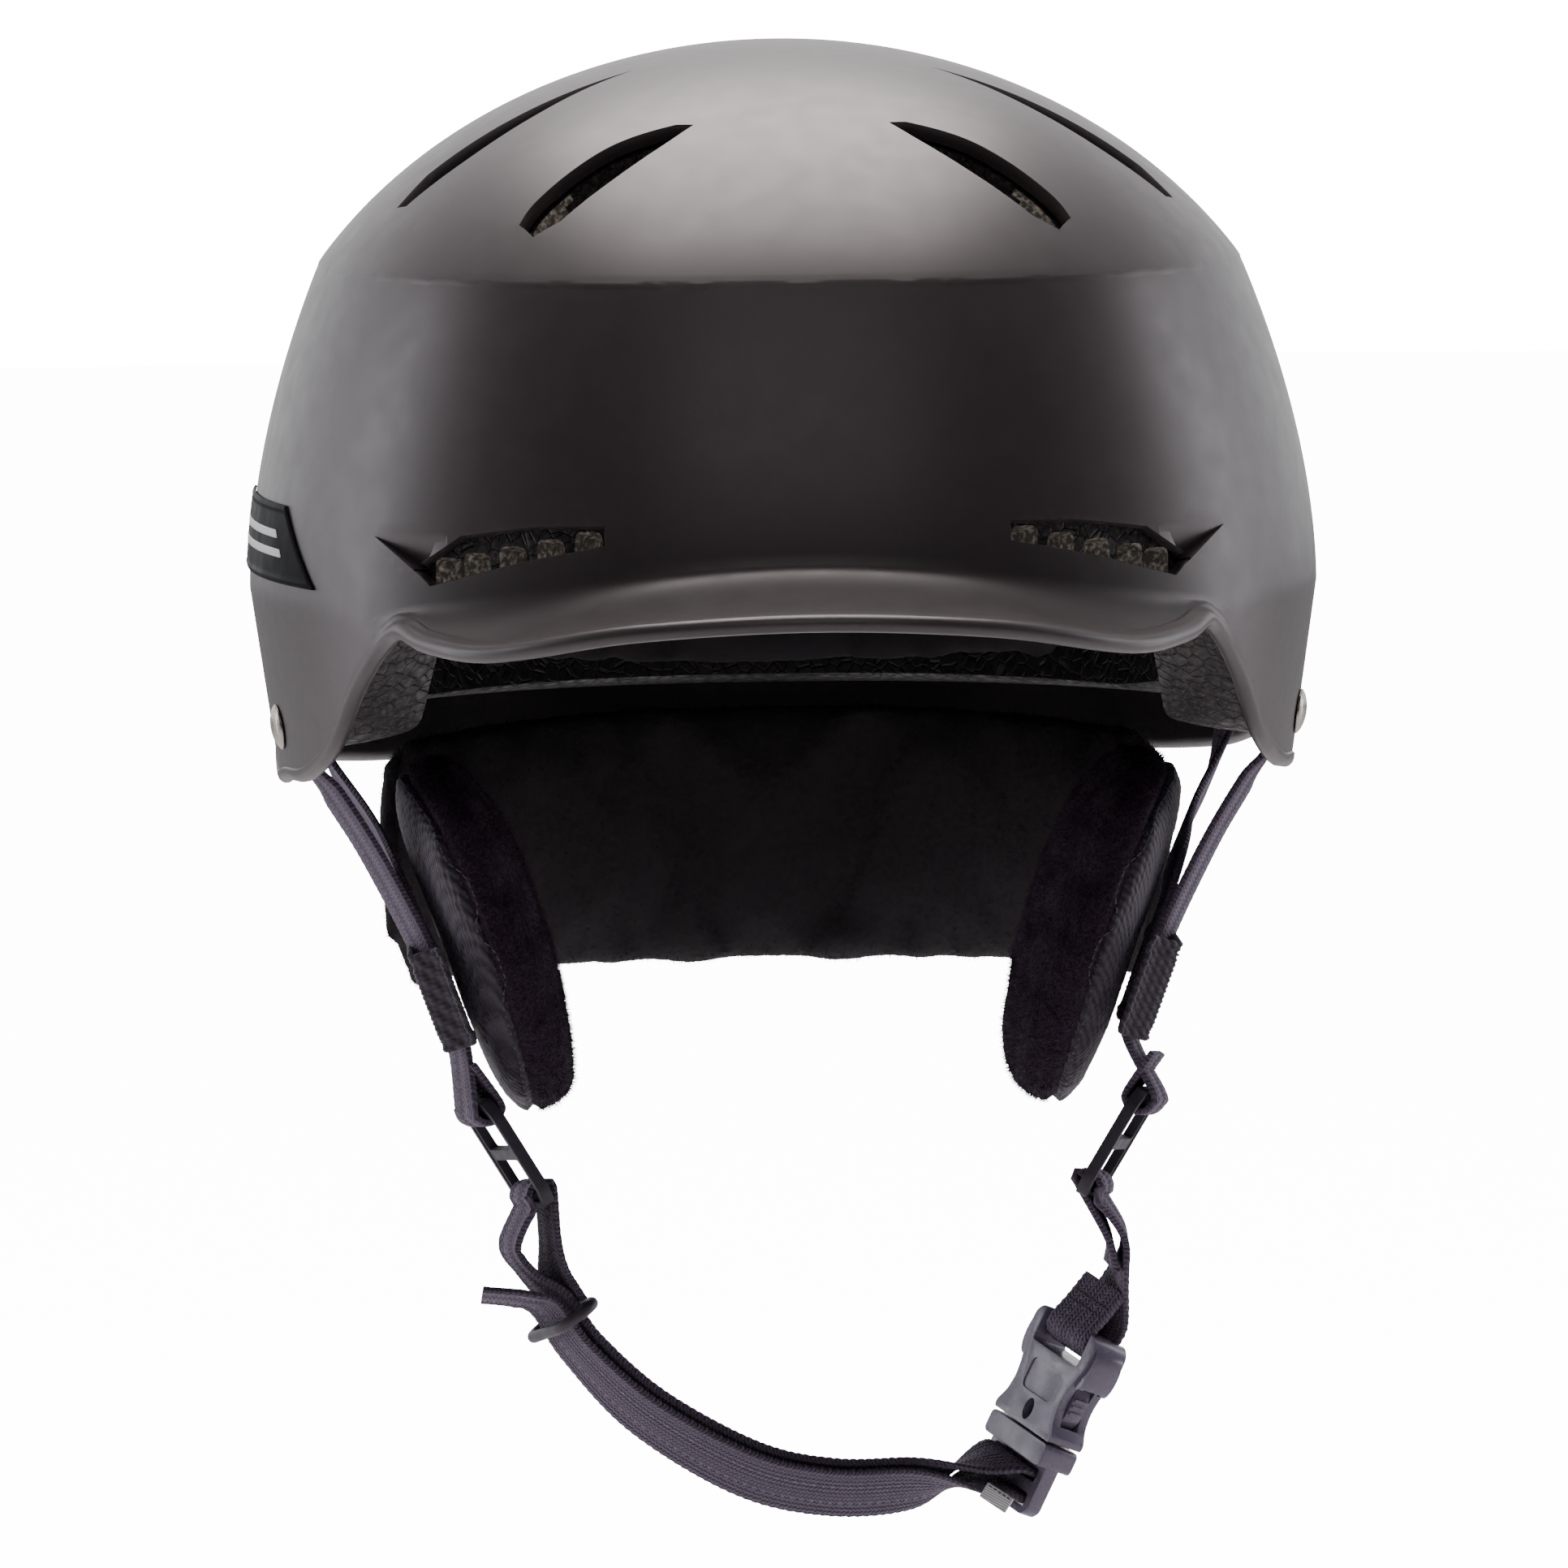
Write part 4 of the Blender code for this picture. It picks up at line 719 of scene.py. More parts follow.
def chart_mesh(rows, sectors, holes, creases, spacing):
    """Triangulated chart of rings, with holes cut out and crease lines kept."""
    grid = [(0.0, 0.0)]
    for row in rows[1:]:
        turns = sectors if row > 0.12 else max(12, round(sectors * row / 0.12))
        grid.extend((row * math.sin(2 * math.pi * k / turns), -row * math.cos(2 * math.pi * k / turns))
                    for k in range(turns))
    grid = np.array(grid)
    edge = np.linalg.norm(grid, axis=1) > rows[-1] - 1e-6
    keep = np.ones(len(grid), bool)
    for loop, closed in [(hole, True) for hole in holes] + [(crease, False) for crease in creases]:
        keep &= (distance_to(grid, loop, closed) > spacing) | edge
    verts = [Vector(point) for point in grid[keep]]
    edges = []
    for loop, closed in [(hole, True) for hole in holes] + [(crease, False) for crease in creases]:
        first = len(verts)
        verts.extend(Vector(point) for point in loop)
        edges.extend((first + k, first + k + 1) for k in range(len(loop) - 1))
        if closed:
            edges.append((len(verts) - 1, first))
    verts, _, faces, _, _, _ = geometry.delaunay_2d_cdt(verts, edges, [], 0, 1e-6)
    flat_points = np.array([tuple(vert) for vert in verts])
    faces = np.array([tuple(face) for face in faces])
    middles = flat_points[faces].mean(1)
    solid = np.ones(len(faces), bool)
    for hole in holes:
        solid &= ~inside(middles, [tuple(point) for point in hole])
    return flat_points, faces[solid]


def thick_sheet(name, outer, inner, faces, bulge):
    """Closed wall between two copies of a chart mesh; bulge(point) rounds its rims outwards."""
    used = np.unique(faces)
    renumber = -np.ones(len(outer), int)
    renumber[used] = np.arange(len(used))
    faces = renumber[faces]
    outer, inner = outer[used], inner[used]
    edge_count = {}
    for a, b, c in faces:
        for pair in ((a, b), (b, c), (c, a)):
            edge_count[pair] = edge_count.get(pair, 0) + 1
    rims = [pair for pair in edge_count if (pair[1], pair[0]) not in edge_count]
    out = {}
    for a, b in rims:
        normal = outer[a] - inner[a]
        direction = np.cross(outer[b] - outer[a], normal)
        direction /= max(np.linalg.norm(direction), 1e-9)
        out[a] = out.get(a, 0) + direction
        out[b] = out.get(b, 0) + direction
    points = list(outer) + list(inner)
    total = len(outer)
    loops = {}
    for index, direction in out.items():
        direction = direction / max(np.linalg.norm(direction), 1e-9)
        reach, steps = bulge(outer[index], np.linalg.norm(outer[index] - inner[index]))
        middle, half = (outer[index] + inner[index]) / 2, (outer[index] - inner[index]) / 2
        column = [index]
        for step in range(1, steps):
            turn = math.pi * step / steps
            column.append(len(points))
            points.append(middle + half * math.cos(turn) + direction * reach * math.sin(turn))
        column.append(index + total)
        loops[index] = column
    made = [tuple(face) for face in faces] + [(c + total, b + total, a + total) for a, b, c in faces]
    for a, b in rims:
        for low in range(len(loops[a]) - 1):
            made.append((loops[b][low], loops[a][low], loops[a][low + 1], loops[b][low + 1]))
    return facing_out(mesh_of(name, points, made))


def shell_rows():
    """Row positions from the crown to the edge, closer together at the crease and the edge."""
    top = math.asin(DOME_CUT)
    dome = [math.sin(top * k / 44) / DOME_CUT for k in range(44)] + [0.986, 0.993, 0.9965, 1.0]
    wall = [1.0055, 1.012, 1.025] + [1.05 + 0.95 * k / 25 for k in range(26)]
    lower = [2 + 0.8 * k / 15 for k in range(1, 16)] + [2.8 + 0.2 * k / 9 for k in range(1, 10)]
    return dome + wall + lower


def shell_polar(flat_point):
    """Surface point and outward direction of a chart point, before beads and scoops."""
    row = math.hypot(*flat_point)
    angle = math.atan2(flat_point[0], -flat_point[1]) if row > 1e-9 else 0.0
    if row <= 1:
        return dome_point(angle, row)
    root_z = brim_root_z(angle)
    if row <= 2:
        return wall_point(angle, CREASE_Z + (root_z - CREASE_Z) * (row - 1))
    length = edge_length(angle)
    band = min(EDGE_BAND / length, 0.75)
    if row <= 2.8:
        return shell_lower_point(angle, (row - 2) / 0.8 * (1 - band))
    return shell_lower_point(angle, max(0.0, 1 - band * (3 - row) / 0.2))


def edge_length(angle):
    """Length of the lower wall at an angle."""
    points = [shell_lower_point(angle, share) for share in (0, 0.35, 0.7, 1.0)]
    return sum((b - a).length for a, b in zip(points, points[1:]))


def from_edge(flat_points):
    """Distance of chart points from the lower edge, large above the edge band."""
    distances = np.full(len(flat_points), 99.0)
    for index, (x, y) in enumerate(flat_points):
        row = math.hypot(x, y)
        if row > 2.79:
            distances[index] = (3 - row) / 0.2 * min(EDGE_BAND, 0.75 * edge_length(math.atan2(x, -y)))
    return distances


def scoop_loops():
    """Scoop outlines of both sides, in the chart: tip, top and deep corner."""
    return [[flat(polar_from_front(side * x, z)) for x, z in (SCOOP_TIP, SCOOP_TOP, SCOOP_DEEP)]
            for side, _ in SIDES]


def scoop_depths(points):
    """Depth of the brow scoops at chart points: deepest at the vent's outer end."""
    depths = np.zeros(len(points))
    for loop in scoop_loops():
        tip, top, deep = (np.array(corner) for corner in loop)
        basis = np.stack((top - tip, deep - tip), 1)
        shares = np.linalg.solve(basis, (points - tip).T)
        ok = (shares[0] > -1e-4) & (shares[1] > 0) & (shares.sum(0) < 1.0005)
        depths = np.where(ok, shares[1] * SCOOP_DEPTH, depths)
    return depths


def sheet_normals(points, faces):
    """Outward direction at each corner of a triangulated sheet."""
    a, b, c = points[faces[:, 0]], points[faces[:, 1]], points[faces[:, 2]]
    normals = np.cross(b - a, c - a)
    total = np.zeros_like(points)
    for column in range(3):
        np.add.at(total, faces[:, column], normals)
    return total / np.maximum(np.linalg.norm(total, axis=1), 1e-12)[:, None]


def outer_shell():
    """Brimmed shell with vents, brow scoops, a soft crease and a beaded edge."""
    holes = chart_outlines(1.1)
    creases = []
    for side, (tip, top, deep) in zip((-1, 1), scoop_loops()):
        lip = flat(polar_from_front(side * SCOOP_LIP[0], SCOOP_LIP[1]))
        for start, end in ((tip, top), (tip, deep), (tip, lip)):
            creases.append([start.lerp(end, k / 14) for k in range(15)])
    flat_points, faces = chart_mesh(shell_rows(), SHELL_SECTORS, holes, creases, 0.008)
    points = np.array([tuple(shell_polar(point)) for point in flat_points])
    normals = sheet_normals(points, faces)
    if normals[0][2] < 0:
        faces = faces[:, ::-1]
        normals = -normals
    rows = np.linalg.norm(flat_points, axis=1)
    from_crease = np.abs(rows - 1) * np.where(rows < 1, 100.0, CREASE_Z - BRIM_ROOT_Z)
    shift = -CREASE_ROUNDING * np.exp(-(from_crease / CREASE_SOFTNESS) ** 2) - scoop_depths(flat_points)
    rise = np.clip((BEAD_WIDTH + 0.5 - from_edge(flat_points)) / 0.9, 0, 1)
    shift += BEAD_HEIGHT * rise * rise * (3 - 2 * rise)
    outer = points + normals * shift[:, None]
    inner = points - normals * np.maximum(SHELL_WALL, scoop_depths(flat_points) + 0.3)[:, None]
    edge_z = points[:, 2][rows > 2.999]
    lowest_vent = BROW_VENT[5][1] - 3

    def bulge(point, thickness):
        over_vent = point[2] > lowest_vent and math.hypot(point[0], point[1]) < 108
        at_vent = over_vent or point[2] > edge_z.max() + 1
        return (0.35, 4) if at_vent else (thickness / 2, 7)

    mesh = thick_sheet("shell", outer, inner, faces, bulge)
    return link_object("shell", mesh, SHELL, "root", ("outer_shell",), 32)


def foam_liner():
    """Bead foam with vent channels and a row of windows behind each brow vent."""
    holes = [loop for loop in chart_outlines(2.2, 0.94)[:4]]
    for side, _ in SIDES:
        for x in BROW_WINDOWS:
            z = 55.8 - 0.22 * (x - BROW_WINDOWS[0])
            w, h = WINDOW_SIZE[0] / 2, WINDOW_SIZE[1] / 2
            corners = ((x - w, z - h), (x + w, z - h), (x + w, z + h), (x - w, z + h))
            path = rounded_path(corners, 1.6, steps=3)
            holes.append([flat(polar_from_front(side * point[0], point[1])) for point in path])
    top = math.asin(DOME_CUT)
    rows = [math.sin(top * k / 26) / DOME_CUT for k in range(27)]
    rows += [1 + k / 14 for k in range(1, 15)] + [2 + k / 9 for k in range(1, 10)]
    flat_points, faces = chart_mesh(rows, FOAM_SECTORS, holes, [], 0.016)

    def place(flat_point, depth):
        row = math.hypot(*flat_point)
        angle = math.atan2(flat_point[0], -flat_point[1]) if row > 1e-9 else 0.0
        if row <= 1:
            return inset_point(angle, row, depth)
        root_z = brim_root_z(angle)
        z = CREASE_Z + (root_z - CREASE_Z) * (row - 1)
        if row > 2:
            edge_z = through_keys(FOAM_EDGE, abs(math.degrees(angle)), 2)
            z = root_z + (edge_z - root_z) * (row - 2)
        return inset_point(angle, level_at(z), depth)

    outer = np.array([tuple(place(point, FOAM_INSET)) for point in flat_points])
    inner = np.array([tuple(place(point, FOAM_INSET + FOAM_THICKNESS)) for point in flat_points])
    if sheet_normals(outer, faces)[0][2] < 0:
        faces = faces[:, ::-1]
    mesh = thick_sheet("foam", outer, inner, faces, lambda point, thickness: (0.8, 6))
    mesh.materials.append(FOAM)
    mesh.materials.append(FOAM_PAINTED_LIT)
    mesh.materials.append(FOAM_PAINTED_SHADE)
    for index, polygon in enumerate(mesh.polygons):
        x, y, z = polygon.center
        if y > 0.0:
            # Rear half of the liner gets the near-black foam: painted shade inside the helmet.
            polygon.material_index = 2
        elif index >= 2 * len(faces) and y < -0.07 and 0.036 < abs(x) < 0.08 and z > (48 - DATUM_Z) * MM:
            # Cut faces behind the brow vents get the lighter glowing foam: painted light.
            polygon.material_index = 1
    return link_object("foam", mesh, FOAM, "root", ("foam_liner",), 50)


outer_shell()
foam_liner()


# ---------------------------------------------------------------- moulded and woven builders

def prism(outline, low, high, soft=0.0, matrix=None):
    """Temporary solid in millimetres from an outline in the XY plane, between two heights."""
    corners = [Vector((x, y, 0)) for x, y in outline]
    path = rounded_path(corners, soft) if soft else corners
    bm = bmesh.new()
    base = bm.faces.new([bm.verts.new((point.x, point.y, low)) for point in path])
    top = bmesh.ops.extrude_face_region(bm, geom=[base])
    raised = [item for item in top["geom"] if isinstance(item, bmesh.types.BMVert)]
    bmesh.ops.translate(bm, vec=(0, 0, high - low), verts=raised)
    bmesh.ops.recalc_face_normals(bm, faces=bm.faces)
    if matrix:
        bm.transform(matrix)
    mesh = bpy.data.meshes.new("solid")
    bm.to_mesh(mesh)
    bm.free()
    obj = bpy.data.objects.new("solid", mesh)
    bpy.context.scene.collection.objects.link(obj)
    return obj


def brick(x, y, z, soft=0.0, matrix=None):
    """Temporary block between (low, high) pairs on each axis."""
    return prism(((x[0], y[0]), (x[1], y[0]), (x[1], y[1]), (x[0], y[1])), z[0], z[1], soft, matrix)


def oval(middle, half_x, half_y, count=20):
    """Oval outline."""
    turns = [2 * math.pi * step / count for step in range(count)]
    return [(middle[0] + half_x * math.cos(turn), middle[1] + half_y * math.sin(turn)) for turn in turns]


def moulded(solid, matrix, joins=(), cuts=(), soft=0.4, segments=3):
    """Mesh of a moulded piece: a solid with others joined and cut away, its edges rounded."""
    for tools, operation in ((joins, "UNION"), (cuts, "DIFFERENCE")):
        for tool in tools:
            change = solid.modifiers.new(operation, "BOOLEAN")
            change.object = tool
            change.operation = operation
            change.solver = "EXACT"
    edges = solid.modifiers.new("edges", "BEVEL")
    edges.width = soft
    edges.segments = segments
    edges.limit_method = "ANGLE"
    edges.angle_limit = math.radians(35)
    applied(solid)
    mesh = solid.data
    for vert in mesh.vertices:
        vert.co = to_row(matrix @ vert.co)
    for obj in (solid, *joins, *cuts):
        bpy.data.objects.remove(obj)
    mesh.materials.clear()
    mesh.polygons.foreach_set("material_index", [0] * len(mesh.polygons))
    return facing_out(mesh)


def sheet_patch(name, place, columns, rows, thickness, edge=None):
    """Thin curved piece between place(u, v) and its copy moved inwards, with rounded edges."""
    points = np.array([tuple(place(column / columns, row / rows)) for row in range(rows + 1)
                       for column in range(columns + 1)])
    faces = []
    for row in range(rows):
        for column in range(columns):
            corner = row * (columns + 1) + column
            faces.append((corner, corner + 1, corner + columns + 2))
            faces.append((corner, corner + columns + 2, corner + columns + 1))
    faces = np.array(faces)
    normals = sheet_normals(points, faces)
    reach = thickness / 2 if edge is None else edge
    return thick_sheet(name, points, points - normals * thickness, faces, lambda point, wide: (reach, 6))


WEB_WIDTH, WEB_THICKNESS = 15.0, 1.5
WEB_STEP = 0.55
WEB_RIBS = 10
SELVEDGE = 0.17


def webbing(name, stations, body, replaced=(), width=WEB_WIDTH, thickness=WEB_THICKNESS, link=True):
    """Woven strap along (point, direction across) stations, with ribs, serrated edges and a weave map."""
    run = run_through([tuple(point) + tuple(Vector(side).normalized()) for point, side in stations], WEB_STEP)
    points = np.array([tuple(value[:3]) for value in run])
    tangents = np.gradient(points, axis=0)
    tangents /= np.linalg.norm(tangents, axis=1)[:, None]
    sides = np.array([tuple(value[3:]) for value in run])
    sides -= tangents * (sides * tangents).sum(1)[:, None]
    sides /= np.linalg.norm(sides, axis=1)[:, None]
    normals = np.cross(sides, tangents)
    along = np.concatenate(([0], np.cumsum(np.linalg.norm(np.diff(points, axis=0), axis=1))))
    samples = WEB_RIBS * 4
    shares = np.linspace(-1, 1, samples + 1)
    rib = 0.07 * np.cos(shares * math.pi * WEB_RIBS)
    round_off = 1 - np.clip((np.abs(shares) - 0.93) / 0.07, 0, 1) ** 2 * 0.75
    top = (thickness / 2 - 0.05 + rib) * round_off
    across = np.concatenate((shares, shares[::-1][1:-1]))
    height = np.concatenate((top, -top[::-1][1:-1]))
    half = width / 2 - 0.1 + SELVEDGE * np.cos(2 * math.pi * along / (WEB_STEP * 3))
    grid = (points[:, None] + sides[:, None] * (across[None, :, None] * half[:, None, None])
            + normals[:, None] * height[None, :, None])
    ring, count = len(across), len(run)
    first = np.arange(ring)
    low = np.arange(count - 1)[:, None] * ring
    after = (first + 1) % ring
    quads = np.stack((low + first, low + after, low + ring + after, low + ring + first), -1)
    faces = [tuple(quad) for quad in quads.reshape(-1, 4).tolist()]
    faces.append(tuple(range(ring)))
    faces.append(tuple(range((count - 1) * ring, count * ring)))
    mesh = facing_out(mesh_of(name, grid.reshape(-1, 3), faces))
    layer = mesh.uv_layers.new(name="weave")
    corners = np.zeros(len(mesh.loops), int)
    mesh.loops.foreach_get("vertex_index", corners)
    weave = np.stack((across[corners % ring] * width / 2, along[corners // ring]), 1)
    layer.data.foreach_set("uv", weave.astype(np.float32).ravel())
    if not link:
        mesh.materials.append(WEBBING)
        return mesh
    return link_object(name + "_weave", mesh, WEBBING, body, replaced, 60)


# ---------------------------------------------------------------- straps

RIVETS = {"front": (73.0, 14.0), "rear": (112.0, 14.0)}
DIVIDER_X = {-1: 58.0, 1: 64.5}
DIVIDER_Y, DIVIDER_Z, DIVIDER_TILT, DIVIDER_BAR = -40.0, -71.5, math.radians(31), 10.5
DIVIDER_TURN = math.radians(16)
WRAP_RADIUS = 2.9
FLAP_TILT = math.radians(20)
FLAP_CENTRE = (61.5, -17.0, -30.0)
FLAP_HALF_DEPTH, FLAP_HALF_LENGTH, FLAP_THICKNESS = 39.0, 38.0, 19.0
REAR_STRAP_OUT = FLAP_THICKNESS / 2 + 1.9
FRONT_STRAP_OUT = REAR_STRAP_OUT + 2.2
SLEEVE_MIDDLE, SLEEVE_LIFT, SLEEVE_HALF_WIDTH = -19.5, 5.0, 13.5
SLEEVE_TOP, SLEEVE_BOTTOM = 2.0, -13.0
BUCKLE_CENTRE = Vector((51.2, -40.0, -122.4))
BUCKLE_DOWN = Vector((-0.43, 0.0, -0.903)).normalized()
BUCKLE_BACK = Vector((-0.782, -0.5, 0.372)).normalized()
BUCKLE_SIDE = BUCKLE_DOWN.cross(BUCKLE_BACK)
SOCKET_TOP, SOCKET_BAR, SOCKET_END = -15.0, -13.45, 8.0
LADDER_BAR = 18.35
# Chin webbing under the chin: point and the angle by which its front edge is raised
CHIN_LINE = (
    ((-48.5, -40.0, -101.6), 28), ((-42.6, -40.5, -110.4), 30), ((-29.7, -42.0, -123.4), 40),
    ((-10.3, -44.0, -134.8), 47), ((6.0, -45.0, -138.6), 48), ((22.0, -44.5, -138.2), 42),
)
KEEPER_CENTRE = Vector((-46.4, -40.1, -104.8))
KEEPER_RUN = Vector((0.56, -0.03, -0.83)).normalized()
LAYER_STEP = 2.7


def rivet_frame(side, end):
    """Frame on the shell at a strap rivet."""
    angle, height = RIVETS[end]
    return surface_frame(side * math.radians(angle), height)


def flap_axes(side):
    """Directions along an ear flap (up) and away from the head."""
    up = Vector((side * math.sin(FLAP_TILT), 0, math.cos(FLAP_TILT)))
    return up, Vector((side * math.cos(FLAP_TILT), 0, -math.sin(FLAP_TILT)))


def flap_point(side, depth, along, out_by):
    """Point in an ear flap: depth back from its middle, along its length and out from its mid face."""
    up, out = flap_axes(side)
    centre = Vector((side * FLAP_CENTRE[0], FLAP_CENTRE[1] + depth, FLAP_CENTRE[2]))
    curl = 5.0 * (depth / FLAP_HALF_DEPTH) ** 2
    return centre + up * along + out * (out_by - curl)


def divider_frame(side):
    """Centre, downward and outward directions of a strap divider."""
    centre = Vector((side * DIVIDER_X[side], DIVIDER_Y, DIVIDER_Z))
    down = Vector((-side * math.sin(DIVIDER_TILT), 0, -math.cos(DIVIDER_TILT)))
    out = Vector((side * math.cos(DIVIDER_TILT), 0, -math.sin(DIVIDER_TILT))) * math.cos(DIVIDER_TURN)
    return centre, down, out - Vector((0, math.sin(DIVIDER_TURN), 0))


def wrap(centre, along, out, start, end, steps=6, radius=WRAP_RADIUS):
    """Points on an arc about a bar: angle 0 lies on the out side, 90 degrees along."""
    turns = [math.radians(start + (end - start) * step / steps) for step in range(steps + 1)]
    return [centre + (out * math.cos(turn) + along * math.sin(turn)) * radius for turn in turns]


def surface_spots(mesh, starts, direction):
    """Points on a mesh hit from the starts along a direction, with the way back out."""
    tree = surface_tree(mesh)
    spots = []
    for start in starts:
        hit, _, _, _ = tree.ray_cast(to_row(start), direction)
        if hit:
            spots.append((Vector((hit.x / MM, hit.y / MM, hit.z / MM + DATUM_Z)), -direction))
    return spots


def front_strap(side, word):
    """Webbing from the front rivet through the sleeve and around the divider's top bar."""
    rivet = rivet_frame(side, "front")
    across = rivet.to_3x3() @ Vector((side, 0, 0))
    centre, down, out = divider_frame(side)
    top_bar = centre - down * DIVIDER_BAR
    fore = down.cross(out) * -side
    turned = (side * 0.36, 1, 0)
    stations = [(rivet @ Vector((0, 7.5, -4.5)), across), (rivet @ Vector((0, -7, -4.5)), across)]
    stations.append((Vector((side * 91.5, -31.5, 0.0)), turned))
    stations.append((Vector((side * 84.0, -33.5, -12.0)), turned))
    for along, facing in ((4.0, turned), (-10.0, turned), (-17.0, fore)):
        stations.append((flap_point(side, SLEEVE_MIDDLE, along, FRONT_STRAP_OUT), facing))
    stations.extend((point, fore) for point in wrap(top_bar, down, out, -50, 180, steps=5))
    stations.append((top_bar - down * 9 - out * (WRAP_RADIUS - 0.6), fore))
    strap = webbing(f"strap_front_{word}", stations, None, (f"strap_front_{word}",))
    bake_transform(strap)
    for lift in (5.6, 7.4):
        spots = surface_spots(strap.data, [top_bar - down * lift + out * 12 + Vector((0, y, 0)) for y in
                                           (-6.2, -3.1, 0.0, 3.1, 6.2)], -out)
        mesh = stitch_row(f"strap_stitch_{word}_{lift:.0f}", spots, 1.3, 1.0, 0.16)
        link_object(mesh.name, mesh, THREAD, "chin_loop")


def rear_strap(side, word):
    """Webbing from the rear rivet, forward over the flap and down into the sleeve."""
    rivet = rivet_frame(side, "rear")
    facing = rivet.to_3x3() @ Vector((0, 0, 1))
    _, out = flap_axes(side)
    run = [(rivet @ Vector((0, 7.5, -4.5)), facing), (rivet @ Vector((0, -7, -4.5)), facing),
           (Vector((side * 91.5, 33.0, -3.0)), facing + out),
           (flap_point(side, 22.0, 22.0, REAR_STRAP_OUT + 4), out),
           (flap_point(side, -6.0, 15.0, REAR_STRAP_OUT + 0.3), out),
           (flap_point(side, SLEEVE_MIDDLE, 3.0, REAR_STRAP_OUT), out),
           (flap_point(side, SLEEVE_MIDDLE, -11.0, REAR_STRAP_OUT), out)]
    stations = []
    for index, (point, normal) in enumerate(run):
        before, after = run[max(index - 1, 0)][0], run[min(index + 1, len(run) - 1)][0]
        stations.append((point, normal.cross(after - before)))
    webbing(f"strap_rear_{word}", stations, "root", (f"strap_rear_{word}",))


def strap_sleeve(side, word):
    """Knitted loop on the flap that the straps run through, with stitched edges."""
    def place(u, v):
        offset = (2 * u - 1) * SLEEVE_HALF_WIDTH
        lift = smooth_step((SLEEVE_HALF_WIDTH - abs(offset)) / 4.5)
        pad_slope = (1 - lift) * offset / SLEEVE_HALF_WIDTH
        hem = 0.35 * math.exp(-((min(v, 1 - v) - 0.09) / 0.04) ** 2)
        out = FLAP_THICKNESS / 2 + 2.0 + pad_slope + SLEEVE_LIFT * lift - hem
        along = SLEEVE_BOTTOM - 3 + (SLEEVE_TOP - SLEEVE_BOTTOM + 5) * v
        rib = 0.14 * math.cos(2 * math.pi * along / 1.1 + 2.2 * abs((offset / 2.2) % 1 - 0.5))
        return flap_point(side, SLEEVE_MIDDLE, along, out + rib) + Vector((0, offset, 0))

    def ordered(u, v):
        return place(u if side > 0 else 1 - u, v)

    mesh = sheet_patch(f"strap_sleeve_{word}", ordered, 64, 76, 1.1)
    _, out = flap_axes(side)
    meshes = [mesh]
    for v in (0.1, 0.9):
        spots = [(place(k / 12, v) + out * 0.1, out) for k in range(1, 12)]
        meshes.append(stitch_row("sleeve_stitch", spots, 1.5, 1.05, 0.17))
    name = f"strap_sleeve_{word}"
    sleeve = link_object(name, merged(meshes), KNIT, None, (name,), 60)
    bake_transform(sleeve)


def chin_tilt(before, after, degrees):
    """Direction across the chin webbing: its front edge is raised by an angle."""
    tangent = (after - before).normalized()
    rise = Vector((0, 1, 0)).cross(tangent)
    turn = math.radians(degrees)
    return Vector((0, -math.cos(turn), 0)) + (rise if rise.z > 0 else -rise) * math.sin(turn)


def chin_stations():
    """Chin webbing under the chin: point and direction across it."""
    points = [Vector(point) for point, _ in CHIN_LINE]
    last = len(points) - 1
    return [(points[index], chin_tilt(points[max(index - 1, 0)], points[min(index + 1, last)], degrees))
            for index, (_, degrees) in enumerate(CHIN_LINE)]


def face_normal(stations, index):
    """Direction out of the webbing's lower front face."""
    before, after = stations[max(index - 1, 0)][0], stations[min(index + 1, len(stations) - 1)][0]
    normal = (after - before).cross(stations[index][1]).normalized()
    return -normal if normal.z > 0 else normal


def buckle_point(across, down, back):
    """Point in the buckle's own directions."""
    return BUCKLE_CENTRE + BUCKLE_SIDE * across + BUCKLE_DOWN * down + BUCKLE_BACK * back


def buckle_frame(across=0.0, down=0.0, back=0.0):
    """Matrix with X across the buckle, Y towards the plug end and Z out of its back."""
    axes = Matrix((BUCKLE_SIDE, BUCKLE_DOWN, BUCKLE_BACK)).transposed().to_4x4()
    return Matrix.Translation(buckle_point(across, down, back)) @ axes


def chin_webbing():
    """Webbing from the right divider under the chin, through the plug and back to the keeper."""
    centre, down, out = divider_frame(-1)
    bar = centre + down * DIVIDER_BAR
    fore = -down.cross(out)
    line = chin_stations()
    stations = [(Vector((-45.6, -40.2, -102.4)), line[0][1]), (Vector((-48.4, -40.0, -97.6)), line[0][1]),
                (Vector((-49.6, -40.0, -90.0)), fore)]
    stations.extend((point, fore) for point in wrap(bar, down, out, 190, 370))
    stations.append((Vector((-57.6, -40.0, -90.5)), fore))
    stations.append((Vector((-54.4, -40.0, -95.8)), fore))
    stations.extend(line)
    leave = -BUCKLE_SIDE
    ladder_bar = buckle_point(0, LADDER_BAR, 0)
    stations.append((buckle_point(0, 16.2, 7.0), leave))
    stations.extend((point, leave) for point in wrap(ladder_bar, BUCKLE_DOWN, BUCKLE_BACK, -65, -290, 6, 3.2))
    stations.append((buckle_point(0, 21.6, 7.0), leave))
    for index in reversed(range(len(line))):
        point, direction = line[index]
        stations.append((point + face_normal(line, index) * LAYER_STEP, direction))
    stations.append((Vector((-55.5, -42.5, -100.8)), line[0][1]))
    stations.append((Vector((-63.5, -42.5, -99.8)), line[0][1]))
    strap = webbing("chin_webbing", stations, None, ("chin_webbing",))
    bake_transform(strap)


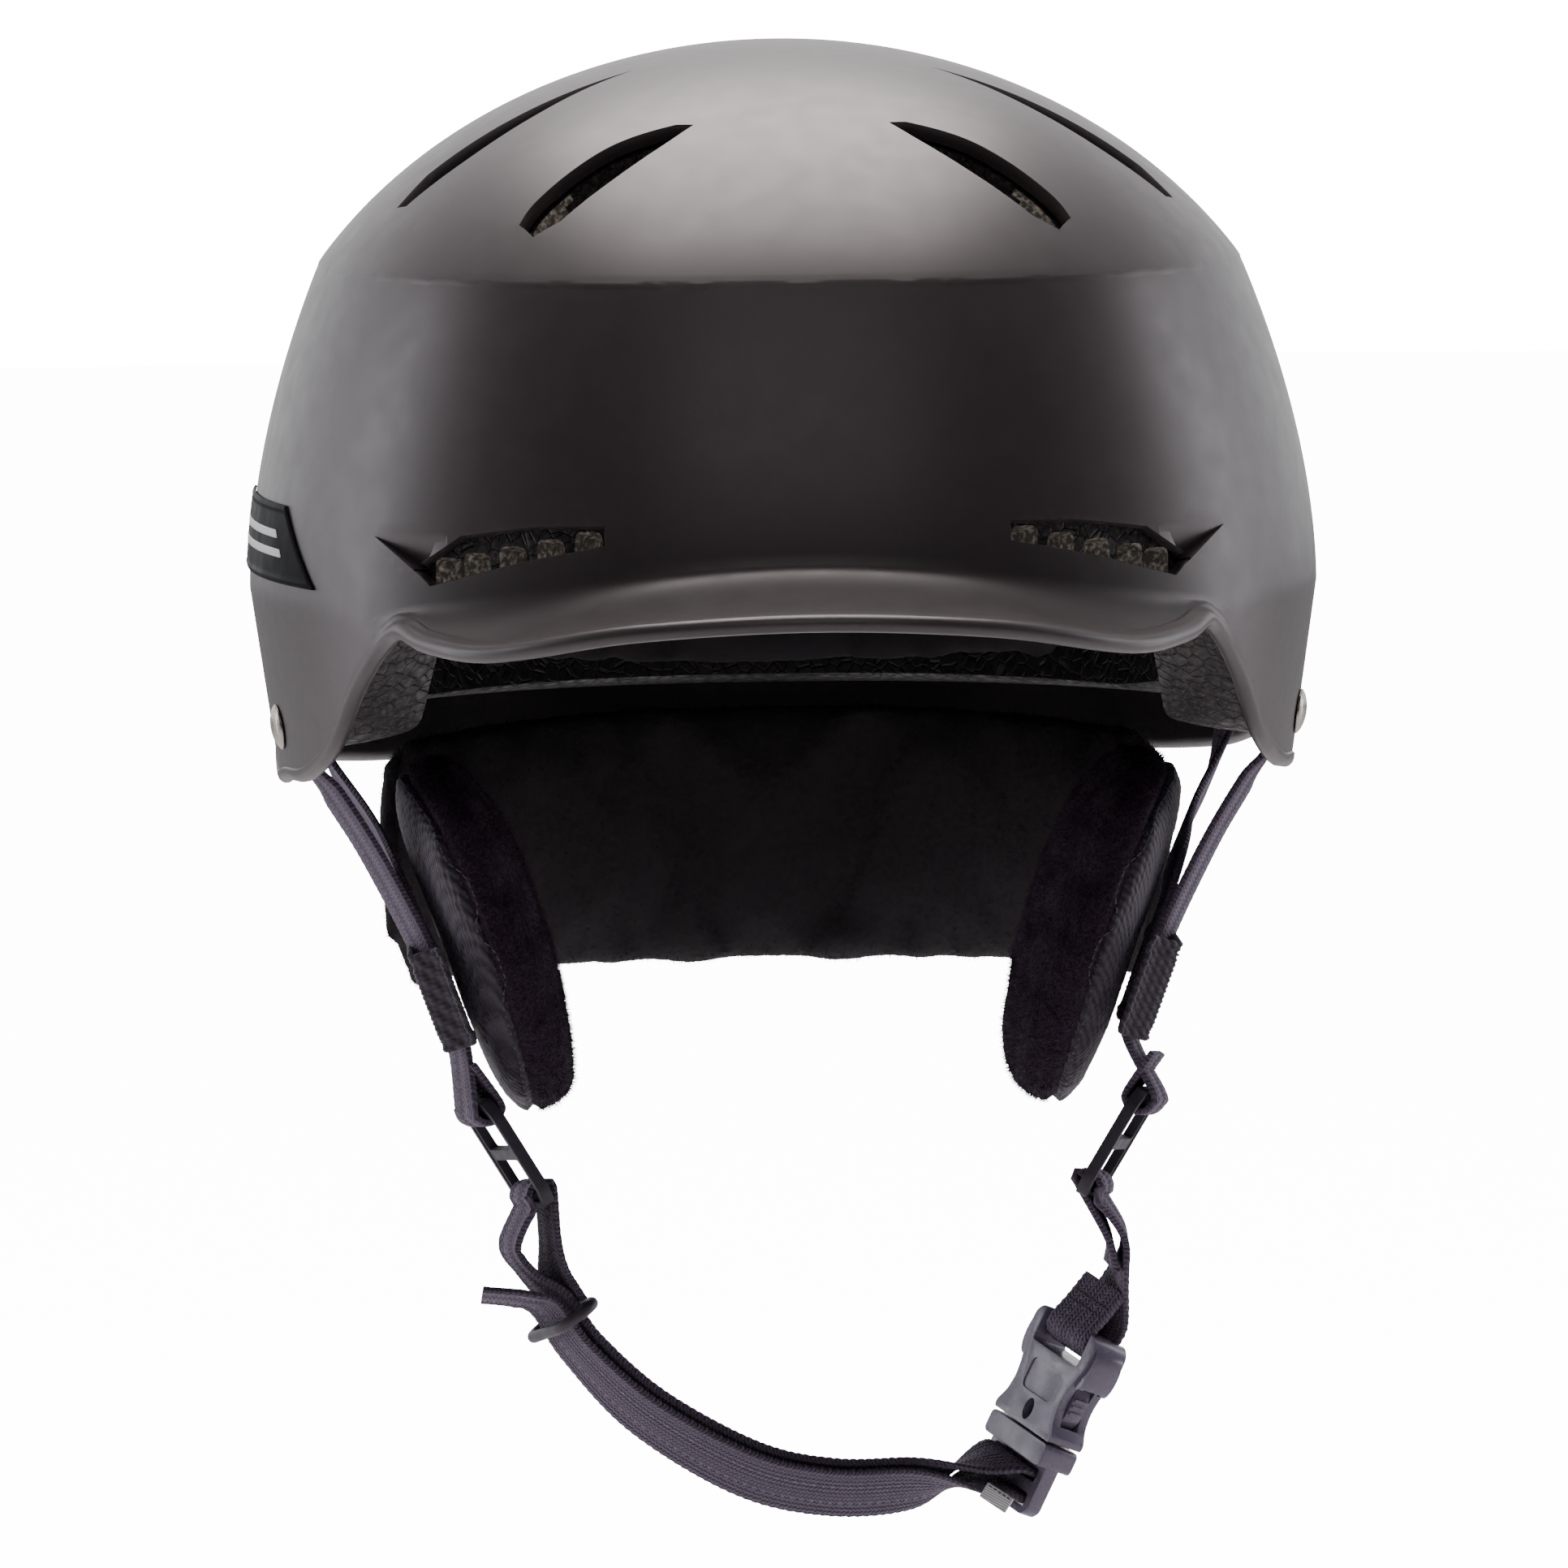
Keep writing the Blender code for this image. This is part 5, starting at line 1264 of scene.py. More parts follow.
def strap_keeper():
    """Round-section rubber ring that holds the loose end against the chin webbing."""
    line = chin_stations()
    across = (line[0][1] - KEEPER_RUN * line[0][1].dot(KEEPER_RUN)).normalized()
    normal = face_normal(line, 0)
    normal = (normal - KEEPER_RUN * normal.dot(KEEPER_RUN)).normalized()
    middle = KEEPER_CENTRE + normal * LAYER_STEP / 2
    radius, half_run = 4.6, WEB_WIDTH / 2 - 2.0
    points = []
    for step in range(48):
        turn = 2 * math.pi * (step + 0.5) / 48
        shift = math.copysign(half_run, math.cos(turn))
        points.append(middle + across * (shift + radius * math.cos(turn)) + normal * radius * math.sin(turn))
    mesh = sweep("strap_keeper", points, 1.2, True, 14, normal=KEEPER_RUN)
    link_object("strap_keeper", mesh, KEEPER, "keeper", ("strap_keeper",))


def buckle_strap():
    """Short webbing from the left divider to the buckle socket, sewn back on itself."""
    centre, down, out = divider_frame(1)
    bar = centre + down * DIVIDER_BAR
    fore = -down.cross(out)
    stations = [(Vector((63.1, -40.0, -96.5)), fore + BUCKLE_SIDE * 0.8),
                (Vector((62.4, -40.0, -90.5)), fore + BUCKLE_SIDE * 0.3)]
    stations.extend((point, fore) for point in wrap(bar, down, out, 190, 370))
    stations.append((Vector((65.5, -40.0, -90.0)), fore + BUCKLE_SIDE * 0.3))
    stations.append((Vector((65.0, -40.0, -97.0)), fore + BUCKLE_SIDE * 0.8))
    socket_bar = buckle_point(0, SOCKET_BAR, 0)
    stations.append((buckle_point(0, -19.0, -3.8), BUCKLE_SIDE))
    arc = wrap(socket_bar, BUCKLE_DOWN, BUCKLE_BACK, 180, 0, 4, 3.4)
    stations.extend((point, BUCKLE_SIDE) for point in arc)
    stations.append((buckle_point(0, -18.5, 1.6), BUCKLE_SIDE))
    stations.append((buckle_point(0, -24.5, -0.3), BUCKLE_SIDE))
    strap = webbing("buckle_strap", stations, "chin_loop", ("buckle_strap",))
    for lift in (-18.6, -20.6):
        spots = surface_spots(strap.data, [buckle_point(x, lift, 12) for x in (-6.2, -3.1, 0.0, 3.1, 6.2)],
                              -BUCKLE_BACK)
        mesh = stitch_row(f"buckle_strap_stitch_{-lift:.0f}", spots, 1.3, 1.0, 0.16)
        link_object(mesh.name, mesh, THREAD, "chin_loop")


# ---------------------------------------------------------------- buckle, dividers and rivets

def divider(side, word):
    """Hexagonal divider plate with two strap slots and a raised rim."""
    centre, down, out = divider_frame(side)
    axes = Matrix((down.cross(out), down, out)).transposed().to_4x4()
    matrix = Matrix.Translation(centre) @ axes
    outline = ((-8.5, -12.3), (8.5, -12.3), (11.3, -9.0), (11.3, 9.0), (8.5, 12.3),
               (-8.5, 12.3), (-11.3, 9.0), (-11.3, -9.0))
    solid = prism(outline, -1.2, 1.2, 1.6)
    half = WEB_WIDTH / 2 + 0.9
    cuts = [brick((-half, half), (middle - 3.85, middle + 3.85), (-9, 9), 1.0) for middle in (-5.05, 5.05)]
    relief = [prism([(x * 0.86, y * 0.88) for x, y in outline], z, z + 4, 1.4) for z in (0.95, -4.95)]
    mesh = moulded(solid, matrix, (), (*cuts, *relief), 0.4)
    link_object(f"divider_{word}_plate", mesh, DIVIDER, "chin_loop", (f"divider_{word}",))


def waisted(half, waist, low, high):
    """Outline of a plate drawn in at its waist by the prongs' windows."""
    right = [(half - 1.6, low), (half, low + 1.8), (half, low + 6.4), (waist + 0.5, -3.2), (waist, 0.4),
             (waist + 0.6, 3.8), (half - 0.5, 6.6), (half - 0.7, high)]
    return right + [(-x, y) for x, y in reversed(right)]


def buckle_socket():
    """Socket half: two waisted plates joined around the strap bar, with a rounded shoulder."""
    solid = prism(waisted(11.2, 8.4, SOCKET_TOP, SOCKET_END), -4.3, 4.3, 1.2)
    half = WEB_WIDTH / 2 + 0.9
    cuts = [brick((-9.2, 9.2), (-6.0, SOCKET_END + 3), (-2.3, 2.3)),
            brick((-half, half), (-11.9, -7.8), (-12, 12), 0.8),
            brick((-20, 20), (-4.5, 4.5), (-2.3, 2.3)),
            prism(oval((0, 4.6), 1.5, 2.3), 2.0, 8.0)]
    for sign in (-1, 1):
        cuts.append(brick((-half, half), (SOCKET_TOP - 2, -10.9), (sign * 3.6 - 2, sign * 3.6 + 2)))
        cuts.append(brick((-5.4, 5.4), (-5.2, 1.4), (sign * 4.9 - 0.9, sign * 4.9 + 0.9), 1.6))
    lobes = [prism(oval((sign * 10.4, -8.6), 2.0, 4.6), -3.6, 3.6) for sign in (-1, 1)]
    mesh = moulded(solid, buckle_frame(), lobes, cuts, 0.5)
    link_object("buckle_socket", mesh, BUCKLE, "chin_loop", ("buckle_socket",), 42)


def buckle_plug():
    """Plug half: rounded collar, centre guide and slotted end for the webbing."""
    collar = brick((-10.7, 10.7), (8.5, 13.4), (-4.2, 4.2), 1.4)
    frame_edge = ((-10.2, 12), (10.2, 12), (10.2, 22.4), (8.6, 24.0), (-8.6, 24.0), (-10.2, 22.4))
    ladder = prism(frame_edge, -1.7, 1.7, 0.8)
    guide = brick((-2.2, 2.2), (-4.3, 10), (-1.7, 1.7), 0.6)
    half = WEB_WIDTH / 2 + 0.8
    cuts = [brick((-half, half), span, (-10, 10), 0.6) for span in ((14.2, 17.1), (19.6, 22.5))]
    mesh = moulded(collar, buckle_frame(), (ladder, guide), cuts, 0.45)
    link_object("buckle_plug", mesh, BUCKLE, "plug", ("buckle_plug",), 42)


PRONG_OUTLINE = ((3.6, 7.9), (6.2, 7.9), (7.6, 5.0), (8.9, 2.5), (9.3, -1.0), (8.1, -4.6), (6.4, -5.4),
                 (5.6, -4.0), (5.6, 2.0), (4.4, 5.2))


def buckle_prongs():
    """Two springy arms with ribbed squeeze grips."""
    for sign, word in ((-1, "a"), (1, "b")):
        solid = prism([(sign * x, y) for x, y in PRONG_OUTLINE], -1.95, 1.95, 0.9)
        ridges = [brick((sign * 9.05 - 0.5, sign * 9.05 + 0.5), (y - 0.35, y + 0.35), (-1.7, 1.7)) for y in
                  (-1.6, -0.2, 1.2)]
        mesh = moulded(solid, buckle_frame(), ridges, (), 0.28, 2)
        name = f"buckle_prong_{word}"
        link_object(name, mesh, BUCKLE, f"prong_{word}", (name,))


LABEL_SPOT, LABEL_OUT = (38.8, -52.0, -142.5), Vector((-0.3, -0.9, 0.3))


def blank_label():
    """Small folded label without any print, sewn where the webbing turns around the ladder."""
    strap = bpy.data.objects["chin_webbing_weave"].data
    tree = surface_tree(strap)
    hit, _, _, _ = tree.find_nearest(to_row(LABEL_SPOT))
    hit = Vector((hit.x / MM, hit.y / MM, hit.z / MM + DATUM_Z))
    out = LABEL_OUT.normalized()
    across = (BUCKLE_SIDE - out * BUCKLE_SIDE.dot(out)).normalized()
    axes = Matrix((across, out.cross(across), out)).transposed().to_4x4()
    matrix = Matrix.Translation(hit + out * 1.5 - across * 1.2) @ axes
    mesh = moulded(brick((-3.2, 3.2), (-1.7, 1.7), (-0.3, 0.3), 0.3), matrix, soft=0.2)
    link_object("blank_label", mesh, LABEL, "plug")
    spots = [(matrix @ Vector((x, -1.2, 0.36)), out) for x in (-2.8, 0.0, 2.8)]
    link_object("label_stitch", stitch_row("label_stitch", spots, 1.1, 0.8, 0.13), THREAD, "plug")


def rivets():
    """Domed strap rivets outside and steel washers inside."""
    for side, word in SIDES:
        for end in RIVETS:
            matrix = rivet_frame(side, end)
            profile = ((0, 1.9), (1.2, 1.86), (2.4, 1.62), (3.6, 1.2), (4.5, 0.55), (4.55, 0.2), (2.3, 0.15),
                       (2.3, -7.3), (3.6, -7.3), (3.5, -8.1), (1.4, -8.4), (0, -8.3))
            name = f"rivet_{end}_{word}"
            lathe(name, profile, matrix, RIVET, "root", (name,), 0.25, 56)
            ring = ((5.0, -5.8), (5.0, -6.8), (2.9, -6.8), (2.9, -5.8))
            name = f"washer_{end}_{word}"
            lathe(name, ring, matrix, WASHER, "root", (name,), 0.2, 48)


# ---------------------------------------------------------------- badge, reel, laces and goggle holder

def badge_point(u, v, out):
    """Point on the badge: u runs from its rear end to its slanted front, v upwards."""
    front = 54.5 + 9.0 * v
    angle = -math.radians(93.0 + (front - 93.0) * u)
    return inset_point(angle, level_at(44.5 + 15.0 * v), -out)


def side_badge():
    """Plate on the wearer's right with a raised rim and two plain lines along it."""
    def face(u, v):
        edge = min(u * 60, (1 - u) * 60, v * 15, (1 - v) * 15)
        rim = 0.2 * math.exp(-((edge - 0.7) / 0.45) ** 2)
        return badge_point(u, v, 0.60 + rim)

    plate = sheet_patch("side_badge", face, 150, 44, 0.55, 0.2)
    link_object("side_badge", plate, BADGE, "root", ("side_badge",), 30)
    bars = []
    for level in (0.38, 0.62):
        def bar(u, v, level=level):
            return badge_point(0.12 + 0.72 * u, level + (v - 0.5) * 0.09, 0.76)
        bars.append(sheet_patch("badge_line", bar, 40, 6, 0.3, 0.12))
    link_object("badge_bars", merged(bars), MARK, "root", (), 30)


NECK_TOP_Z, NECK_SHARE, NECK_TAPER = 3.0, 0.835, 0.0011
REEL_Z = -24.0
LACE_START, LACE_REACH, LACE_END_Z = 18.0, 42.0, -6.0


def neck_point(angle, z, out=0.0):
    """Outer face of the neck panel, drawn in towards its lower hem."""
    radius = plan_radius(angle) * (NECK_SHARE - NECK_TAPER * (NECK_TOP_Z - z)) + out
    return Vector((radius * math.sin(angle), -radius * math.cos(angle), z))


def fit_reel():
    """Housing, lace spool and a turning knob with a ribbed grip."""
    back = neck_point(math.pi, REEL_Z).y + 0.6
    lean = math.atan(NECK_TAPER * BACK_DEPTH)
    matrix = Matrix.Translation((0, back, REEL_Z)) @ Matrix.Rotation(-math.pi / 2 - lean, 4, "X")
    housing = ((0, 2.5), (12.0, 2.5), (12.0, 8.0), (14.0, 8.0), (14.6, 3.0), (17.0, 2.0), (17.0, 0), (0, 0))
    lathe("reel_housing", housing, matrix, REEL, "root", ("reel_housing",), 0.5, 96)
    spool = ((0, 13.0), (3.0, 13.0), (3.0, 8.0), (11.2, 8.0), (11.2, 7.2), (8.5, 6.4), (8.5, 4.4),
             (11.2, 3.6), (11.2, 3.0), (0, 3.0))
    lathe("reel_spool", spool, matrix, REEL, "spool", ("reel_spool",), 0.3, 72)
    grip = ((0, 16.2), (8.0, 16.2), (9.0, 17.0), (11.5, 17.0), (14.0, 15.6), (15.0, 13.5), (15.2, 8.8),
            (3.4, 8.8), (3.4, 13.6), (0, 13.6))

    def ribs(angle, radius, _height):
        return -0.45 * (0.5 + 0.5 * math.cos(24 * angle)) ** 3 if radius > 13.2 else 0.0

    lathe("reel_knob", grip, matrix, KNOB, "knob", ("reel_knob",), 0.6, 216, ribs)


def fit_laces():
    """Twisted cords from the reel to an anchor on each side."""
    first = math.degrees(LACE_START / neck_point(math.pi, REEL_Z).y)
    for side, word in SIDES:
        points = []
        for step in range(31):
            share = step / 30
            turn = math.radians(first + (LACE_REACH - first) * share)
            z = REEL_Z + (LACE_END_Z - REEL_Z) * smooth_step(share)
            points.append(neck_point(math.pi - side * turn, z, 1.7))
        points = run_through(points, 0.35)
        mesh = sweep(f"fit_lace_{word}", points, 0.68, sides=10,
                     ripple=lambda far, turn: 0.07 * math.cos(3 * turn + far * 2.4))
        link_object(mesh.name, mesh, CORD, "root", (f"fit_lace_{word}",), 60)
        angle = math.pi - side * math.radians(LACE_REACH + 5.0)
        spot = Matrix.Translation(neck_point(angle, LACE_END_Z, 3.2)) @ Matrix.Rotation(angle, 4, "Z")
        body = brick((-5.5, 5.5), (-1.3, 1.3), (-4, 4), 0.6)
        upright = Matrix.Translation((-side * 2.6, 0, 0)) @ Matrix.Rotation(math.pi / 2, 4, "X")
        eye = prism(oval((0, 0), 1.5, 1.5), -5, 5, matrix=upright)
        mesh = moulded(body, spot, (), (eye,), 0.5)
        link_object(f"lace_anchor_{word}", mesh, REEL, "root", (f"lace_anchor_{word}",))


HOLDER_TOP_Z, HOLDER_HINGE_Z, HOLDER_BOTTOM_Z = 53.0, 43.0, 8.0
HOLDER_GAP, HOLDER_THICKNESS = 2.4, 2.2


def holder_strip(name, high_z, low_z, body):
    """Rubber strip down the back of the shell with a raised border."""
    def place(u, v):
        z = low_z + (high_z - low_z) * v
        x = (0.5 - u) * 17.0
        round_off = 2.4 if low_z == HOLDER_BOTTOM_Z else 0.6
        near = max(0.0, 1 - (z - low_z) / round_off)
        x *= 1 - 0.12 * near ** 2
        edge = min(8.5 - abs(x), z - low_z, high_z - z)
        rim = 0.25 * math.exp(-((edge - 1.0) / 0.5) ** 2)
        return wall_point(math.pi, z, HOLDER_GAP + HOLDER_THICKNESS - 0.25 + rim) + Vector((x, 0, 0))

    rows = max(10, round((high_z - low_z) * 1.6))
    mesh = sheet_patch(name, place, 36, rows, HOLDER_THICKNESS - 0.25)
    link_object(name, mesh, HOLDER, body, (name,), 40)


def goggle_holder():
    """Strip with a press stud that keeps a goggle strap on the back of the shell."""
    holder_strip("goggle_anchor", HOLDER_TOP_Z, HOLDER_HINGE_Z + 0.5, "root")
    holder_strip("goggle_tab", HOLDER_HINGE_Z, HOLDER_BOTTOM_Z, "goggle_flap")
    face = HOLDER_GAP + HOLDER_THICKNESS + 0.5
    frame_high, frame_low = surface_frame(math.pi, 48.0), surface_frame(math.pi, 15.0)
    rivet = ((0, face + 1.6), (1.5, face + 1.55), (3.0, face + 1.3), (4.6, face), (1.7, face),
             (1.7, -3.2), (0, -3.2))
    lathe("goggle_rivet", rivet, frame_high, RIVET, "root", ("goggle_rivet",), 0.25, 48)
    stud = ((0, 1.9), (3.4, 1.9), (5.5, 0.9), (5.5, 0.4), (0, 0.4))
    lathe("snap_stud", stud, frame_low, RIVET, "root", ("snap_stud",), 0.25, 48)
    cap = ((0, face + 1.35), (3.2, face + 1.35), (4.2, face + 1.6), (6.0, face + 0.5), (6.0, face), (0, face))
    lathe("snap_cap", cap, frame_low, RIVET, "goggle_flap", ("snap_cap",), 0.3, 56)


# ---------------------------------------------------------------- cushions

CUSHIONS = {
    "ear_pad_right": (0.0042, 0.0035), "brow_pad": (0.005, 0.002), "side_pad_right": (0.005, 0.002),
    "rear_pad": (0.005, 0.002), "crown_pad": (0.005, 0.0015), "neck_panel": (0.005, 0.003),
}
CLOTH_FRAMES = 20


def cushion_blank(node, voxel):
    """Remeshed copy of a CAD pad, drawn in a little to leave room for its swelling."""
    if node == "ear_pad_right":
        mesh = flap_blank()
    else:
        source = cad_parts[node]
        mesh = source.data.copy()
        mesh.transform(source.matrix_world)
    obj = bpy.data.objects.new(node + "_cushion", mesh)
    bpy.context.scene.collection.objects.link(obj)
    remesh = obj.modifiers.new("remesh", "REMESH")
    remesh.mode = "VOXEL"
    remesh.voxel_size = voxel
    shrink = obj.modifiers.new("shrink", "DISPLACE")
    shrink.strength = -0.0012
    shrink.mid_level = 0.0
    return applied(obj)


def flap_blank():
    """Right ear pad before filling, at the CAD pad's place: square edges and a long upper end."""
    bm = bmesh.new()
    bmesh.ops.create_uvsphere(bm, u_segments=56, v_segments=28, radius=1)
    for vert in bm.verts:
        across, along, face = vert.co
        rim, turn = math.hypot(across, along), math.atan2(along, across)
        square = (abs(math.cos(turn)) ** 3.2 + abs(math.sin(turn)) ** 3.2) ** (-1 / 3.2)
        spread = rim ** 0.42 * square
        height = FLAP_HALF_LENGTH * spread * math.sin(turn)
        narrowing = 1 - 0.2 * smooth_step(-height / FLAP_HALF_LENGTH)
        depth = (FLAP_HALF_DEPTH - 1) * spread * math.cos(turn) * narrowing
        thick = FLAP_THICKNESS / 2 + 0.6 * smooth_step(-height / 20)
        vert.co = to_row(flap_point(-1, depth, height, thick * math.copysign(abs(face) ** 0.5, face)))
    bmesh.ops.recalc_face_normals(bm, faces=bm.faces)
    mesh = bpy.data.meshes.new("flap_blank")
    bm.to_mesh(mesh)
    bm.free()
    return mesh


def inflate(blanks):
    """Fill the cushions by one shared cloth run, with each point's movement capped."""
    starts = {}
    for node, obj in blanks.items():
        starts[node] = np.array([tuple(vert.co) for vert in obj.data.vertices])
        cloth = obj.modifiers.new("cloth", "CLOTH")
        cloth.settings.use_pressure = True
        cloth.settings.uniform_pressure_force = 4.0
        cloth.settings.effector_weights.gravity = 0.0
        cloth.settings.mass = 0.2
        cloth.settings.tension_stiffness = 12.0
        cloth.settings.bending_stiffness = 0.4
        cloth.point_cache.frame_start = 1
        cloth.point_cache.frame_end = CLOTH_FRAMES
    for number in range(1, CLOTH_FRAMES + 1):
        bpy.context.scene.frame_set(number)
    for node, obj in blanks.items():
        applied(obj)
        cap = CUSHIONS[node][1]
        moved = np.array([tuple(vert.co) for vert in obj.data.vertices]) - starts[node]
        length = np.linalg.norm(moved, axis=1)[:, None]
        held = starts[node] + moved * np.minimum(1, cap / np.maximum(length, 1e-9))
        obj.data.vertices.foreach_set("co", held.astype(np.float32).ravel())
        obj.data.update()
    bpy.context.scene.frame_set(1)


def lumpy(name, scale):
    """Cloud texture for soft unevenness."""
    texture = bpy.data.textures.new(name, "CLOUDS")
    texture.noise_scale = scale
    texture.noise_depth = 3
    return texture


LUMPS = lumpy("lumps", 0.014)
PILE = lumpy("pile", 0.0011)


def soften(obj, levels, pile, lumps=0.0010):
    """Subdivide a cushion and give it lumps and a short pile."""
    smooth = obj.modifiers.new("smooth", "SUBSURF")
    smooth.levels = levels
    smooth.render_levels = levels
    for texture, strength in ((LUMPS, lumps), (PILE, pile)):
        bumps = obj.modifiers.new("bumps", "DISPLACE")
        bumps.texture = texture
        bumps.texture_coords = "LOCAL"
        bumps.strength = strength
        bumps.mid_level = 0.5
    return applied(obj)


def fibres(name, mesh, count, keep, length=(1.0, 2.4), seed=7):
    """Fine tapered fibres standing on a mesh where keep(point, normal) allows, in row metres."""
    chance = np.random.default_rng(seed)
    verts = mesh.vertices
    chosen = chance.permutation(len(verts))
    points, faces = [], []
    made = 0
    for index in chosen:
        vert = verts[int(index)]
        if not keep(vert.co, vert.normal):
            continue
        lean = Vector(chance.normal(0, 0.55, 3))
        axis = (vert.normal + lean).normalized()
        side = axis.orthogonal().normalized()
        other = axis.cross(side)
        reach = chance.uniform(*length) * MM
        root = vert.co - vert.normal * 0.0003
        thick = 0.00009
        first = len(points)
        for turn in (0, 2.0944, 4.1888):
            points.append(root + (side * math.cos(turn) + other * math.sin(turn)) * thick)
        points.append(root + axis * reach)
        faces.extend(((first, first + 2, first + 1), (first, first + 1, first + 3),
                      (first + 1, first + 2, first + 3), (first + 2, first, first + 3)))
        made += 1
        if made >= count:
            break
    fuzz = bpy.data.meshes.new(name)
    fuzz.from_pydata(points, [], faces)
    return fuzz


def mirrored(mesh, name):
    """Copy of a mesh mirrored to the other side."""
    copy = mesh.copy()
    copy.name = name
    copy.transform(Matrix.Scale(-1, 4, (1, 0, 0)))
    copy.flip_normals()
    return copy


def flap_spot(side, turn, out_by, inset):
    """Point near an ear pad's rim at an angle around it, with its outward direction."""
    square = (abs(math.cos(turn)) ** 2.8 + abs(math.sin(turn)) ** 2.8) ** (-1 / 2.8)
    height = (FLAP_HALF_LENGTH - inset) * square * math.sin(turn)
    narrowing = 1 - 0.2 * smooth_step(-height / FLAP_HALF_LENGTH)
    depth = (FLAP_HALF_DEPTH - inset) * square * math.cos(turn) * narrowing
    return flap_point(side, depth, height, out_by)


SEAM_OUT = 3.6


def ear_pads(blank):
    """Ear pads with a knitted outer face, a fleece inner face and a stitched seam between them."""
    soften(blank, 3, 0.00045)
    mesh = blank.data
    bpy.data.objects.remove(blank)
    _, out = flap_axes(-1)
    centre = to_row((-FLAP_CENTRE[0], FLAP_CENTRE[1], FLAP_CENTRE[2]))

    def out_share(point):
        depth = (point.y - centre.y) / MM
        return (point - centre).dot(out) / MM + 5.0 * (depth / FLAP_HALF_DEPTH) ** 2

    grooved = [vert.co - vert.normal * 0.0009 * math.exp(-((out_share(vert.co) - SEAM_OUT) / 0.8) ** 2)
               for vert in mesh.vertices]
    mesh.vertices.foreach_set("co", np.array(grooved, dtype=np.float32).ravel())
    mesh.update()
    tree = surface_tree(mesh)
    outward = [out_share(face.center) > SEAM_OUT for face in mesh.polygons]
    fuzz = fibres("fuzz", mesh, 16000, lambda point, normal: out_share(point) < SEAM_OUT - 1.2, (0.7, 2.0))
    spots = []
    for step in range(73):
        turn = 2 * math.pi * step / 72
        rim = to_row(flap_spot(-1, turn, SEAM_OUT + 1.5, 0.0))
        spot, normal, _, _ = tree.find_nearest(rim)
        spots.append((Vector(((spot.x) / MM, spot.y / MM, spot.z / MM + DATUM_Z)), normal))
    stitches = stitch_row("seam", spots, 1.9, 1.3, 0.17)
    mesh.materials.clear()
    for material in (FLEECE, KNIT, THREAD):
        mesh.materials.append(material)
    mesh.polygons.foreach_set("material_index", [int(flag) for flag in outward])
    for extra, slot in ((fuzz, 0), (stitches, 2)):
        extra.materials.clear()
        for material in (FLEECE, KNIT, THREAD):
            extra.materials.append(material)
        extra.polygons.foreach_set("material_index", [slot] * len(extra.polygons))
    whole = merged([mesh, fuzz, stitches])
    left = mirrored(whole, "ear_pad_left")
    link_object("ear_pad_right_cover", whole, FLEECE, "ear_flap_right", ("ear_pad_right",), 80)
    link_object("ear_pad_left_cover", left, FLEECE, "ear_flap_left", ("ear_pad_left",), 80)


def neck_cover(blank):
    """Neck panel with a stitched hem and a fuzzy fleece face."""
    for vert in blank.data.vertices:
        low = (NECK_TOP_Z - 20 - DATUM_Z) * MM - vert.co.z
        vert.co.z -= 0.0050 * smooth_step(low / 0.03) - 0.0025 * smooth_step(-low / 0.015)
    soften(blank, 3, 0.0004, 0.0004)
    mesh = blank.data
    bpy.data.objects.remove(blank)

    def inner_side(_point, normal):
        return normal.y < 0.35 or normal.z < -0.4

    fuzz = fibres("fuzz", mesh, 16000, inner_side, (0.6, 1.7), 11)
    meshes = [mesh, fuzz]
    tree = surface_tree(mesh)
    for z in (-45.6, -43.8):
        spots = []
        for step in range(49):
            angle = math.pi + math.radians(56) * (step / 24 - 1)
            spot, normal, _, _ = tree.find_nearest(to_row(neck_point(angle, z, 3.0)))
            spots.append((Vector((spot.x / MM, spot.y / MM, spot.z / MM + DATUM_Z)), normal))
        meshes.append(stitch_row("hem", spots, 2.2, 1.5, 0.18))
    link_object("neck_cover", merged(meshes), FLEECE, "root", ("neck_panel",), 80)


def cushions():
    """All soft pads: filled by cloth, subdivided and napped; right-hand pads are mirrored to the left."""
    blanks = {node: cushion_blank(node, voxel) for node, (voxel, _) in CUSHIONS.items()}
    inflate(blanks)
    ear_pads(blanks.pop("ear_pad_right"))
    neck_cover(blanks.pop("neck_panel"))
    for node, obj in blanks.items():
        if node == "rear_pad":
            for vert in obj.data.vertices:
                vert.co.z -= 0.0045 * smooth_step(1 - (vert.co.z / MM + DATUM_Z - 5) / 18)
        soften(obj, 2, 0.00035)
        mesh = obj.data
        bpy.data.objects.remove(obj)
        if node == "side_pad_right":
            left = mirrored(mesh, "side_pad_left")
            link_object("side_pad_left_cover", left, FLEECE, "root", ("side_pad_left",), 80)
        link_object(node + "_cover", mesh, FLEECE, "root", (node,), 80)


for piece_side, piece_word in SIDES:
    front_strap(piece_side, piece_word)
    rear_strap(piece_side, piece_word)
    strap_sleeve(piece_side, piece_word)
    divider(piece_side, piece_word)
chin_webbing()
strap_keeper()
buckle_strap()
buckle_socket()
buckle_plug()
buckle_prongs()
blank_label()
rivets()
side_badge()
fit_reel()
fit_laces()
goggle_holder()
cushions()


# ---------------------------------------------------------------- stage

def lamp(name, energy, size, place, target, colour=(1, 1, 1), height=None):
    """Soft rectangular light aimed at a point, both in metres."""
    data = bpy.data.lights.new(name, "AREA")
    data.energy = energy
    data.size = size
    data.color = colour
    if height:
        data.shape = "RECTANGLE"
        data.size_y = height
    obj = bpy.data.objects.new(name, data)
    bpy.context.scene.collection.objects.link(obj)
    obj.location = place
    obj.rotation_euler = (Vector(target) - Vector(place)).to_track_quat("-Z", "Y").to_euler()
    return obj


